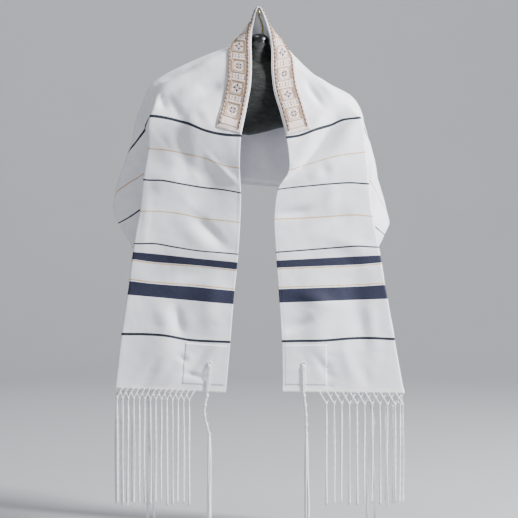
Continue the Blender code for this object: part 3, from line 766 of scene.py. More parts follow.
@dataclass
class Drape:
    """The form of the hung cloth: where each place on it lies and which way it faces."""

    length: float = 2.06
    fold_gap: float = 10 * MM
    fall_rounding: float = 5 * MM
    side_rounding: float = 30 * MM
    shoulder_rounding: float = 45 * MM
    tuck_start: tuple[float, float] = (0.14, 0.22)
    shoulder_blend: tuple[float, float] = (0.65, 0.765)
    bend_reach: float = 0.46
    straight_steps: tuple[int, ...] = (30, 3, 20, 3, 12, 14)
    bend_steps: int = 5
    ripple: float = 0.95 * MM
    fold_relief: float = 1.8
    crease_relief: float = 2.3
    cache: dict = field(default_factory=dict)

    def ramp(self, run: float, places: tuple[float, float]) -> float:
        """Returns 0 nearer the hem than the first place and 1 past the second."""
        from_hem = min(run, self.length - run)
        share = min(max((from_hem - places[0]) / (places[1] - places[0]), 0), 1)
        return share * share * (3 - 2 * share)

    def past_bend(self, bend: np.ndarray, following: np.ndarray, folded: float) -> np.ndarray:
        """Returns the second corner of a bend, behind the first where the cloth folds back."""
        ahead = following - bend
        distance = np.linalg.norm(ahead)
        gap = folded * min(self.fold_gap, distance / 3) + (1 - folded) * distance / 2
        return bend + gap * (folded * np.array([0, 1, 0]) + (1 - folded) * ahead / distance)

    def corners(self, run: float) -> np.ndarray:
        """Returns the seven corners of the line across the cloth."""
        knots = [row.run for row in SECTIONS]
        table = [[row.neck, row.fold, row.turn, row.side, row.edge] for row in SECTIONS]
        neck, fold, turn, side, edge = smooth_columns(knots, table, [run])[0] * MM
        folded = 1 - self.ramp(run, self.shoulder_blend)
        past_fold = self.past_bend(fold, turn, folded)
        past_turn = self.past_bend(turn, side, folded * self.ramp(run, self.tuck_start))
        return np.array([neck, fold, past_fold, turn, past_turn, side, edge])

    def points(self, run: float) -> np.ndarray:
        """Returns the points of the line across the cloth, its bends rounded."""
        corners = self.corners(run)
        share = self.ramp(run, self.shoulder_blend)
        roundings = [self.fall_rounding] * 4 + [self.side_rounding]
        points, leave = [], corners[0]
        for number, rounding in enumerate(roundings, start=1):
            corner = corners[number]
            back, ahead = corners[number - 1] - corner, corners[number + 1] - corner
            back_length, ahead_length = np.linalg.norm(back), np.linalg.norm(ahead)
            wanted = rounding * (1 - share) + self.shoulder_rounding * share
            cut = min(wanted, self.bend_reach * back_length, self.bend_reach * ahead_length)
            arrive = corner + back * cut / back_length
            steps = self.straight_steps[number - 1]
            points += [leave + (arrive - leave) * step / steps for step in range(steps)]
            leave = corner + ahead * cut / ahead_length
            for step in range(self.bend_steps):
                t = step / self.bend_steps
                points.append((1 - t) ** 2 * arrive + 2 * t * (1 - t) * corner + t ** 2 * leave)
        steps = self.straight_steps[-1]
        points += [leave + (corners[-1] - leave) * step / steps for step in range(steps + 1)]
        return np.array(points)

    def lift(self, run: float, across: np.ndarray) -> np.ndarray:
        """Returns how far folds, creases and faint ripples lift each point outward."""
        total = np.zeros_like(across)
        for number, fold in enumerate(LARGE_FOLDS + CREASES):
            relief = self.fold_relief if number < len(LARGE_FOLDS) else self.crease_relief
            start = np.array([fold.start_run, fold.start_across])
            line = np.array([fold.end_run, fold.end_across]) - start
            offset = np.stack([np.full_like(across, run), across], axis=-1) - start
            along = np.clip(offset @ line / (line @ line), 0, 1)
            away = np.linalg.norm(offset - along[:, None] * line, axis=-1)
            fade = np.sin(math.pi * np.clip(along, 0.04, 0.96)) ** 0.6
            total += relief * fold.height * MM * fade * np.exp(-(away / (fold.half_width * MM)) ** 2)
        rumple = [noise.noise(Vector((run * 16, spot * 22, 3.1))) for spot in across]
        finer = [noise.noise(Vector((run * 48, spot * 60, 8.7))) for spot in across]
        return total + self.ripple * np.array(rumple) * 1.6 + self.ripple * 0.35 * np.array(finer)

    def bow(self, run: float, across: np.ndarray) -> np.ndarray:
        """Returns how far the weave of a line is bowed, as a change of run."""
        neck, fold = self.corners(run)[:2]
        near, middle, far, outer, flap = smooth_columns(
            [row.run for row in BOWS], [row[1:] for row in BOWS], [run]
        )[0]
        sags = [0, near, middle, far, outer, 0, flap, flap]
        toward_hem = smooth_columns(BOW_SHARES, sags, across / np.linalg.norm(fold - neck)) * MM
        return toward_hem if run < self.length / 2 else -toward_hem

    def line(self, run: float) -> tuple[np.ndarray, np.ndarray, np.ndarray]:
        """Returns a line's points, outward normals and distances from the neck edge."""
        key = round(run, 6)
        if key not in self.cache:
            nudge = 2 * MM
            points = self.points(run)
            gaps = np.linalg.norm(np.diff(points, axis=0), axis=1)
            across = np.concatenate([[0], np.cumsum(gaps)])
            along = self.points(min(run + nudge, self.length)) - self.points(max(run - nudge, 0))
            normals = np.cross(along, np.gradient(points, axis=0))
            normals /= np.linalg.norm(normals, axis=1)[:, None]
            points = points + normals * self.lift(run, across)[:, None]
            self.cache[key] = (points, normals, across)
        return self.cache[key]

    def rows(
        self, runs: Sequence[float], columns: Columns | None = None
    ) -> tuple[np.ndarray, np.ndarray, np.ndarray]:
        """Works out rows of places on the cloth.

        Args:
            runs: the distances along it.
            columns: the distances across it, for a row's whole width; the drape's own without.

        Returns:
            The points, the outward normals and the plan (run, across).
        """
        points, normals, plan = [], [], []
        for run in runs:
            row, row_normals, across = self.line(run)
            if columns is not None:
                wanted = columns(across[-1])
                row = np.stack([np.interp(wanted, across, row[:, axis]) for axis in range(3)], axis=-1)
                row_normals = np.stack(
                    [np.interp(wanted, across, row_normals[:, axis]) for axis in range(3)], axis=-1,
                )
                across = wanted
            points.append(row)
            normals.append(row_normals)
            plan.append(np.stack([run + self.bow(run, across), across], axis=-1))
        return np.array(points), np.array(normals), np.array(plan)

    def place(self, run: float, across: float, lift: float) -> np.ndarray:
        """Returns one place on the cloth, lifted outward."""
        points, normals, _ = self.rows([run], lambda width: np.array([across]))
        normal = normals[0][0] / np.linalg.norm(normals[0][0])
        return points[0][0] + normal * lift

    def run_of(self, hem: Hem, from_hem: float) -> float:
        """Returns the run at a distance from a hem."""
        return from_hem if hem is Hem.LEFT else self.length - from_hem


@dataclass
class Shawl:
    """The length of cloth itself, with its turned edges and corner squares."""

    drape: Drape
    width: float = 0.455
    row_step: float = 5.6 * MM
    wall: float = 0.9 * MM
    edge_width: float = 6 * MM
    edge_lift: float = 0.75 * MM
    square_side: float = 108 * MM
    square_margin: float = 4 * MM
    hem_band: float = 13 * MM
    square_lift: float = 0.52 * MM
    square_wall: float = 0.14 * MM

    def cloth_runs(self) -> np.ndarray:
        """Returns the runs of the cloth's rows."""
        count = int(self.drape.length / self.row_step) + 1
        return np.linspace(0, self.drape.length, count)

    def make_cloth(self, finish: bpy.types.Material) -> bpy.types.Object:
        """Makes the cloth as one thin shell."""
        shape = bmesh.new()
        points, _, plan = self.drape.rows(self.cloth_runs())
        lay_grid(shape, points, plan)
        nodes = ("shawl_left_fall", "shawl_back", "shawl_right_fall")
        cloth = keep_piece("shawl_cloth", shape, Kept(finish, "white_cloth", nodes, self.wall))
        return cloth

    def make_edges(self, finish: bpy.types.Material) -> list[bpy.types.Object]:
        """Makes the narrow turned edges along both long sides of the cloth."""
        made = []
        reach, lift = self.edge_width, self.edge_lift
        for edge in Edge:
            def columns(width: float, edge: Edge = edge) -> np.ndarray:
                """Returns the places across the turned edge."""
                start = 0.0 if edge is Edge.NECK else width - reach
                return np.linspace(start, start + reach, 4)

            points, normals, plan = self.drape.rows(self.cloth_runs(), columns)
            outside, inside = points + normals * lift, points - normals * lift
            rim = points[:, :1] if edge is Edge.NECK else points[:, -1:]
            outward = (
                points[:, :1] - points[:, 1:2]
                if edge is Edge.NECK
                else points[:, -1:] - points[:, -2:-1]
            )
            outward /= np.linalg.norm(outward, axis=2)[:, :, None]
            rim = rim + outward * lift
            rim_plan = plan[:, :1] if edge is Edge.NECK else plan[:, -1:]
            if edge is Edge.NECK:
                loop = np.concatenate([inside[:, ::-1], rim, outside], axis=1)
                loop_plan = np.concatenate([plan[:, ::-1], rim_plan, plan], axis=1)
            else:
                loop = np.concatenate([outside, rim, inside[:, ::-1]], axis=1)
                loop_plan = np.concatenate([plan, rim_plan, plan[:, ::-1]], axis=1)
            shape = bmesh.new()
            lay_grid(shape, loop, loop_plan)
            made.append(keep_piece(f"turned_edge_{edge.value}", shape, Kept(finish, "white_cloth")))
        return made

    def make_squares(self, finish: bpy.types.Material, thread: bpy.types.Material) -> list[bpy.types.Object]:
        """Makes the reinforcement at each corner, sewn round with small stitches."""
        made = []
        low = self.hem_band + self.square_margin
        numbers = {
            (Hem.LEFT, Edge.NECK): 1,
            (Hem.RIGHT, Edge.NECK): 2,
            (Hem.LEFT, Edge.OUTER): 3,
            (Hem.RIGHT, Edge.OUTER): 4,
        }
        for (hem, edge), number in numbers.items():
            def columns(width: float, edge: Edge = edge) -> np.ndarray:
                """Returns the places across the square."""
                start = self.square_margin
                if edge is Edge.OUTER:
                    start = width - self.square_margin - self.square_side
                return np.linspace(start, start + self.square_side, 25)

            runs = [self.drape.run_of(hem, low + self.square_side * step / 24) for step in range(25)]
            points, normals, plan = self.drape.rows(sorted(runs), columns)
            shape = bmesh.new()
            lay_grid(shape, points + normals * self.square_lift, plan)
            kept = Kept(finish, "white_cloth", (f"corner_square_{number}",), self.square_wall)
            made.append(keep_piece(f"sewn_square_{number}", shape, kept))
            made.append(self.make_stitches(number, points + normals * (self.square_lift + 0.06 * MM), thread))
        return made

    def make_stitches(self, number: int, points: np.ndarray, thread: bpy.types.Material) -> bpy.types.Object:
        """Makes the running stitches just inside a square's four sides."""
        inset = 1
        size = len(points) - 1
        corners = [(inset, inset), (inset, size - inset), (size - inset, size - inset), (size - inset, inset)]
        shape = bmesh.new()
        for start, end in zip(corners, corners[1:] + corners[:1]):
            steps = max(abs(end[0] - start[0]), abs(end[1] - start[1]))
            for step in range(steps):
                near = tuple(start[axis] + (end[axis] - start[axis]) * step // steps for axis in range(2))
                far = tuple(
                    start[axis] + (end[axis] - start[axis]) * (step + 1) // steps
                    for axis in range(2)
                )
                a, b = points[near], points[far]
                path = [a, a * 0.86 + b * 0.14, a * 0.5 + b * 0.5, a * 0.34 + b * 0.66]
                add_tube(shape, path, [0.08 * MM, 0.18 * MM, 0.18 * MM, 0.08 * MM], 4)
        close_tubes(shape)
        return keep_piece(f"square_stitches_{number}", shape, Kept(thread, "white_thread"))


@dataclass
class Neckband:
    """The decorated band along the neck edge: its ground, roped borders and stitched motifs."""

    drape: Drape
    width: float = 65 * MM
    start: float = 0.697
    wall: float = 0.9 * MM
    lift: float = 1.3 * MM
    row_step: float = 3.2 * MM
    border_inset: float = 8.6 * MM
    second_inset: float = 12.4 * MM
    frame_pitch: float = 57 * MM
    frame_half: float = 17.6 * MM
    petal_length: float = 10.8 * MM
    petal_width: float = 5.2 * MM

    @property
    def end(self) -> float:
        """Returns the run of the band's other end."""
        return self.drape.length - self.start

    @property
    def top(self) -> float:
        """Returns how far the band's outer face lies off the middle of the cloth."""
        return self.lift + self.wall / 2

    def on_band(self, path: Sequence[tuple[float, float]], lift: float) -> list[np.ndarray]:
        """Returns places on the band's face for a path of run and across."""
        return [self.drape.place(run, across, self.top + lift) for run, across in path]

    def make_ground(self, finish: bpy.types.Material) -> bpy.types.Object:
        """Makes the band's ground, a thin shell over the cloth."""
        count = int((self.end - self.start) / self.row_step) + 1
        runs = np.linspace(self.start, self.end, count)
        points, normals, plan = self.drape.rows(runs, lambda width: np.linspace(1.5 * MM, self.width, 22))
        shape = bmesh.new()
        lay_grid(shape, points + normals * self.lift, plan)
        kept = Kept(finish, "neckband_cloth", ("neckband",), self.wall)
        return keep_piece("neckband_ground", shape, kept)

    def make_borders(self, rope: bpy.types.Material, cord: bpy.types.Material) -> list[bpy.types.Object]:
        """Makes the roped borders down both sides and across both ends."""
        made = []
        for name, inset, half, finish in (
            ("border_rope", self.border_inset, 1.6 * MM, rope),
            ("border_cord", self.second_inset, 0.75 * MM, cord),
        ):
            low, high = inset, self.width - inset + 1.5 * MM
            near, far = self.start + inset, self.end - inset
            runs = np.linspace(near, far, int((far - near) / (2.4 * MM)))
            lines = np.linspace(low, high, 20)
            shape = bmesh.new()
            paths = [[(run, low) for run in runs], [(run, high) for run in runs]]
            if name == "border_cord":
                paths += [[(near, across) for across in lines], [(far, across) for across in lines]]
            for path in paths:
                add_tube(shape, self.on_band(path, half * 0.55), half, 8, 2, half * 10)
            close_tubes(shape)
            made.append(keep_piece(name, shape, Kept(finish, "neckband_cloth")))
        return made

    def centres(self) -> np.ndarray:
        """Returns the runs of the frames' middles, the same number on each side of the peak."""
        half = (self.end - self.start) / 2 - self.second_inset
        count = int((half - self.frame_half) / self.frame_pitch)
        middle = self.drape.length / 2
        return middle + self.frame_pitch * np.arange(-count, count + 1)

    def make_frames(self, finish: bpy.types.Material) -> bpy.types.Object:
        """Makes the tan square frame round each motif, each with a smaller one inside."""
        shape = bmesh.new()
        middle = (self.width + 1.5 * MM) / 2
        for centre in self.centres():
            for half, thick in ((self.frame_half, 1.15 * MM), (self.frame_half - 3.6 * MM, 0.6 * MM)):
                for turn in range(4):
                    angle = math.pi / 2 * turn
                    path = []
                    for step in np.linspace(-half, half, 9):
                        run = centre + math.cos(angle) * half - math.sin(angle) * step
                        across = middle + math.sin(angle) * half + math.cos(angle) * step
                        path.append((run, across))
                    add_tube(shape, self.on_band(path, thick * 0.4), thick, 5, 2, 3 * MM)
        close_tubes(shape)
        return keep_piece("motif_frames", shape, Kept(finish, "neckband_cloth"))

    def add_petal(
        self,
        shape: bmesh.types.BMesh,
        centre: tuple[float, float],
        turn: float,
        reach: float,
        long: float,
        wide: float,
    ) -> None:
        """Adds one raised satin-stitched petal.

        Args:
            shape: the bmesh to add to.
            centre: the run and across that it points away from.
            turn: the angle that it points in.
            reach: the distance from the centre to its middle.
            long: its half length.
            wide: its half width.
        """
        made = bmesh.ops.create_circle(shape, cap_ends=True, cap_tris=True, segments=10, radius=1)["verts"]
        layer = shape.loops.layers.uv.get("plan") or shape.loops.layers.uv.new("plan")
        cosine, sine = math.cos(turn), math.sin(turn)
        local = {}
        for vert in made:
            along, beside = vert.co.x * long, vert.co.y * wide * (1 - 0.35 * vert.co.x)
            height = 0.65 * MM if vert.co.length < 0.5 else -0.15 * MM
            run = centre[0] + cosine * (reach + along) - sine * beside
            across = centre[1] + sine * (reach + along) + cosine * beside
            local[vert] = (along, beside)
            vert.co = self.drape.place(run, across, self.top + height)
        for face in {face for vert in made for face in vert.link_faces}:
            for loop in face.loops:
                loop[layer].uv = local[loop.vert]

    def make_motifs(self, colours: dict[str, bpy.types.Material]) -> list[bpy.types.Object]:
        """Makes the stitched rosettes in the frames and the sprigs between them."""
        middle = (self.width + 1.5 * MM) / 2
        shapes = {name: bmesh.new() for name in colours}
        centres = self.centres()
        for number, centre in enumerate(centres):
            spot = (centre, middle)
            main, other = ("blue", "tan") if number % 2 else ("tan", "blue")
            for turn in range(8):
                angle = math.pi / 4 * turn
                long = self.petal_length / 2 if turn % 2 == 0 else self.petal_length * 0.36
                name = main if turn % 2 == 0 else other
                self.add_petal(shapes[name], spot, angle, long + 2.2 * MM, long, self.petal_width / 2 * 1.25)
            self.add_petal(shapes["brown"], spot, 0, 0, 1.8 * MM, 1.8 * MM)
            for corner in range(4):
                angle = math.pi / 4 + math.pi / 2 * corner
                self.add_petal(shapes["brown"], spot, angle, 15.2 * MM, 2.2 * MM, 1.1 * MM)
        for first, second in zip(centres, centres[1:]):
            between = (first + second) / 2
            for step in (-2, -1, 0, 1, 2):
                spot = (between, middle + step * 8.2 * MM)
                name = ("blue", "tan", "brown")[abs(step)]
                for side in (0, math.pi):
                    self.add_petal(shapes[name], spot, side, 3.6 * MM, 3.4 * MM, 2.1 * MM)
                self.add_petal(shapes["tan"], spot, math.pi / 2, 0, 1.1 * MM, 1.1 * MM)
        made = []
        for name, shape in shapes.items():
            bmesh.ops.remove_doubles(shape, verts=shape.verts, dist=1e-7)
            made.append(keep_piece(f"stitched_motifs_{name}", shape, Kept(colours[name], "neckband_cloth")))
        return made


@dataclass
class Fringe:
    """One hem's turned band with its knotted fringe."""

    drape: Drape
    hem: Hem
    knots: int
    margin: float
    lattice_drop: float
    band: float = 13 * MM
    band_lift: float = 1.3 * MM
    stitch_pitch: float = 5 * MM
    end_margin: float = 88 * MM
    knot_half: float = 2.7 * MM
    thread_half: float = 1.15 * MM
    strand_end: float = -1.262
    unevenness: float = 4 * MM

    def make_band(self, finish: bpy.types.Material) -> bpy.types.Object:
        """Makes the turned hem band, closed over both faces of the cloth."""
        runs = [self.drape.run_of(self.hem, self.band * step / 4) for step in range(5)]
        points, normals, plan = self.drape.rows(runs)
        outside, inside = points + normals * self.band_lift, points - normals * self.band_lift
        outward = points[:1] - points[1:2]
        outward /= np.linalg.norm(outward, axis=2)[:, :, None]
        rim = points[:1] + outward * self.band_lift
        shape = bmesh.new()
        loop = np.concatenate([inside[::-1], rim, outside], axis=0)
        lay_grid(shape, loop, np.concatenate([plan[::-1], plan[:1], plan], axis=0))
        bmesh.ops.recalc_face_normals(shape, faces=shape.faces)
        name = f"hem_band_{self.hem.value}"
        return keep_piece(name, shape, Kept(finish, "white_thread", (f"fringed_hem_{self.hem.value}",)))

    def make_band_stitches(self, thread: bpy.types.Material) -> bpy.types.Object:
        """Makes the row of stitches that holds the hem band, on both faces."""
        run = self.drape.run_of(self.hem, self.band - 2 * MM)
        width = self.drape.line(run)[2][-1]
        shape = bmesh.new()
        for face in (-1, 1):
            lift = face * (self.band_lift + 0.05 * MM)
            for start in np.arange(4 * MM, width - 8 * MM, self.stitch_pitch):
                spots = start + self.stitch_pitch * np.array([0, 0.15, 0.50, 0.65])
                path = [self.drape.place(run, across, lift) for across in spots]
                add_tube(shape, path, [0.12 * MM, 0.34 * MM, 0.34 * MM, 0.12 * MM], 5)
        close_tubes(shape)
        return keep_piece(f"hem_stitches_{self.hem.value}", shape, Kept(thread, "white_thread"))

    def make_fringe(self, finish: bpy.types.Material) -> bpy.types.Object:
        """Makes the crossed threads, the knots and the strands below them."""
        _, _, across = self.drape.line(self.drape.run_of(self.hem, 0))
        knots = np.linspace(self.margin, across[-1] - self.end_margin, self.knots)
        spacing = knots[1] - knots[0]
        shape = bmesh.new()
        for number, knot in enumerate(knots):
            foot = self.drape.place(self.drape.run_of(self.hem, 0), knot, 0)
            bead = foot - np.array([0, 0, self.lattice_drop])
            for side, face in ((-1, 1), (1, -1)):
                root = self.drape.place(
                    self.drape.run_of(self.hem, 3 * MM), knot + side * spacing, face * 0.7 * MM,
                )
                half_way = (root + bead) / 2 + np.array([0, -face * 1.1 * MM, 0])
                for twin in (-1, 1):
                    shift = np.array([twin * 0.7 * MM, 0, 0])
                    path = smooth_path([root + shift, half_way + shift, bead], 2.6 * MM)
                    add_tube(shape, path, self.thread_half, 6, 2, 4 * MM)
            self.add_knot(shape, bead)
            self.add_strands(shape, bead, number)
        close_tubes(shape)
        return keep_piece(f"knotted_fringe_{self.hem.value}", shape, Kept(finish, "white_thread"))

    def add_knot(self, shape: bmesh.types.BMesh, bead: np.ndarray) -> None:
        """Adds one overhand knot: two crossed turns of thread round a full middle."""
        levels = [(4.5, 0.35), (3, 0.75), (1, 1.0), (-1.5, 1.0), (-3.5, 0.7), (-5, 0.35)]
        path = smooth_path([bead + np.array([0, 0, height * MM]) for height, _ in levels], 1 * MM)
        heights = (path[:, 2] - bead[2]) / MM
        shares = np.interp(
            heights, [h for h, _ in levels[::-1]], [s for _, s in levels[::-1]]
        )
        halves = shares * self.knot_half * 0.8
        add_tube(shape, path, halves, 8, 3, 5 * MM)
        for lean in (-1, 1):
            ring = []
            for step in range(13):
                angle = 2 * math.pi * step / 12
                x, y = self.knot_half * 0.95 * math.cos(angle), self.knot_half * 0.95 * math.sin(angle)
                ring.append(bead + np.array([x, y, lean * 0.9 * MM + lean * 0.55 * x]))
            add_tube(shape, ring, 0.75 * MM, 5)

    def add_strands(self, shape: bmesh.types.BMesh, bead: np.ndarray, number: int) -> None:
        """Adds the threads that hang from a knot."""
        for strand in range(4):
            angle = math.pi / 2 * strand + 0.7 * number
            sway = 1.5 * MM * math.sin(2.1 * number)
            spoke = np.array([math.cos(angle), math.sin(angle), 0])
            end = self.strand_end - self.unevenness * math.cos(1.7 * number)
            end += 3 * MM * math.sin(2.9 * strand + number)
            top = bead - np.array([0, 0, 3 * MM])
            drop = end - top[2]
            wander = 0.9 * MM * math.sin(1.3 * strand + 2.2 * number)
            path = [
                top,
                top + spoke * 1.2 * MM + np.array([0, 0, 0.12 * drop]),
                top + spoke * 1.1 * MM + np.array([sway + wander, 0, 0.5 * drop]),
                top + spoke * 1.6 * MM + np.array([0.6 * sway - wander, wander, drop]),
            ]
            add_tube(shape, smooth_path(path, 5.5 * MM), self.thread_half, 6, 2, 9 * MM)


@dataclass
class Tassel:
    """One corner tassel: its eyelet, its doubled strings, its wound part and its loose strings."""

    drape: Drape
    hem: Hem
    edge: Edge
    hang: Hang
    eyelet_run: float = 75 * MM
    lift: float = 4.1 * MM
    wound_start: float = 10 * MM
    wound_length: float = 97 * MM
    knots: int = 5
    string_half: float = 1.35 * MM
    string_end: float = -1.318
    unevenness: float = 5 * MM

    @property
    def name(self) -> str:
        """Returns the name of the tassel's own CAD node."""
        return f"tzitzit_{self.edge.value}_{self.hem.value}"

    def across(self, run: float) -> float:
        """Returns where across the cloth the tassel's eyelet is."""
        reach = EYELETS_ACROSS[self.hem, self.edge]
        if self.edge is Edge.NECK:
            return reach
        return self.drape.line(run)[2][-1] - reach

    def at(self, from_hem: float, beside: float, lift: float) -> np.ndarray:
        """Returns a place over the cloth by the tassel's line."""
        run = self.drape.run_of(self.hem, from_hem)
        return self.drape.place(run, self.across(run) + beside, lift)

    def make(self, finish: bpy.types.Material) -> list[bpy.types.Object]:
        """Makes the tassel and its eyelet."""
        shape = bmesh.new()
        hem_low = self.at(0, 0, self.lift)
        for beside in (-2.1 * MM, 0, 2.1 * MM):
            path = [self.at(self.eyelet_run - 1 * MM, beside * 0.4, 0.5 * MM)]
            path += [
                self.at(self.eyelet_run - down, beside, self.lift - 0.6 * MM)
                for down in (5 * MM, 20 * MM, 40 * MM, 60 * MM)
            ]
            path.append(self.at(0, beside * 0.8, self.lift - 0.4 * MM))
            path.append(hem_low + np.array([beside * 0.3, 0.8 * MM, -8 * MM]))
            add_tube(shape, smooth_path(path, 3 * MM), self.string_half, 7, 2, 6 * MM)
        self.add_wound(shape, hem_low)
        self.add_strings(shape, self.centre(hem_low, self.wound_start + self.wound_length))
        close_tubes(shape)
        tassel = keep_piece(
            f"corner_tassel_{self.edge.value}_{self.hem.value}",
            shape,
            Kept(finish, "white_thread", (self.name,)),
        )
        return [tassel, self.make_eyelet(finish)]

    def centre(self, hem_low: np.ndarray, drop: float) -> np.ndarray:
        """Returns the middle of the tassel at a distance below the hem."""
        knots = [kink.down * MM for kink in self.hang.kinks]
        swing = smooth_columns(knots, [kink.beside * MM for kink in self.hang.kinks], [drop])[0]
        return hem_low + np.array([swing, 0, -drop])

    def add_wound(self, shape: bmesh.types.BMesh, hem_low: np.ndarray) -> None:
        """Adds the core, the windings round it and the double knots between them."""
        down = [self.wound_start + self.wound_length * step / (self.knots - 1) for step in range(self.knots)]
        drops = np.linspace(down[0] - 5 * MM, down[-1] + 4 * MM, 24)
        add_tube(shape, [self.centre(hem_low, drop) for drop in drops], 1.8 * MM, 8, 4, 9 * MM)
        pitch = 2.1 * MM
        for first, second in zip(down, down[1:]):
            low, high = first + 3.6 * MM, second - 3.6 * MM
            turns = int((high - low) / pitch)
            path = []
            for step in range(turns * 12 + 1):
                drop = low + (high - low) * step / (turns * 12)
                angle = 2 * math.pi * step / 12
                spoke = np.array([math.cos(angle), math.sin(angle), 0])
                path.append(self.centre(hem_low, drop) + 2.4 * MM * spoke)
            add_tube(shape, path, 0.9 * MM, 5)
        for number, drop in enumerate(down):
            centre = self.centre(hem_low, drop)
            for lift, tilt in ((1.4, 0.45), (-1.4, -0.45), (0, 0.1)):
                half = 3.3 * MM if lift else 3.8 * MM
                ring = []
                for step in range(15):
                    angle = 2 * math.pi * step / 14 + number
                    x, y = half * math.cos(angle), half * math.sin(angle)
                    ring.append(centre + np.array([x, y, lift * MM + tilt * x]))
                add_tube(shape, ring, 1.15 * MM, 6)

    def add_strings(self, shape: bmesh.types.BMesh, collar: np.ndarray) -> None:
        """Adds the eight loose strings."""
        for number in range(8):
            angle = 2 * math.pi * number / 8
            spoke = np.array([math.cos(angle), math.sin(angle), 0])
            end = self.string_end - self.unevenness * math.sin(2.4 * number)
            drop = end - collar[2]
            wander = 1.2 * MM * math.sin(1.9 * number + 1.4 * self.hang.right_half)
            side = (self.hang.left_half if number in (3, 4, 5, 6) else self.hang.right_half) * MM
            bundle = self.hang.bundle * MM
            path = [
                collar + spoke * 1.6 * MM + np.array([0, 0, 1 * MM]),
                collar + spoke * 0.8 * bundle + np.array([0.15 * side, 0, 0.10 * drop]),
                collar + spoke * bundle + np.array([0.65 * side + wander, 0, 0.45 * drop]),
                collar + spoke * bundle + np.array([0.90 * side - wander, wander, 0.8 * drop]),
                collar + spoke * 1.15 * bundle + np.array([side + wander, 0, drop]),
            ]
            add_tube(shape, smooth_path(path, 4 * MM), self.string_half, 7, 2, 8 * MM)

    def make_eyelet(self, finish: bpy.types.Material) -> bpy.types.Object:
        """Makes the stitched ring of the eyelet."""
        shape = bmesh.new()
        ring = []
        for step in range(25):
            angle = 2 * math.pi * step / 24
            ring.append(self.at(
                self.eyelet_run + 4.2 * MM * math.sin(angle), 4.2 * MM * math.cos(angle), 1.9 * MM
            ))
        add_tube(shape, smooth_path(ring, 0.8 * MM), 1.1 * MM, 8, 4, 3 * MM)
        close_tubes(shape)
        return keep_piece(f"eyelet_{self.edge.value}_{self.hem.value}", shape, Kept(finish, "white_thread"))


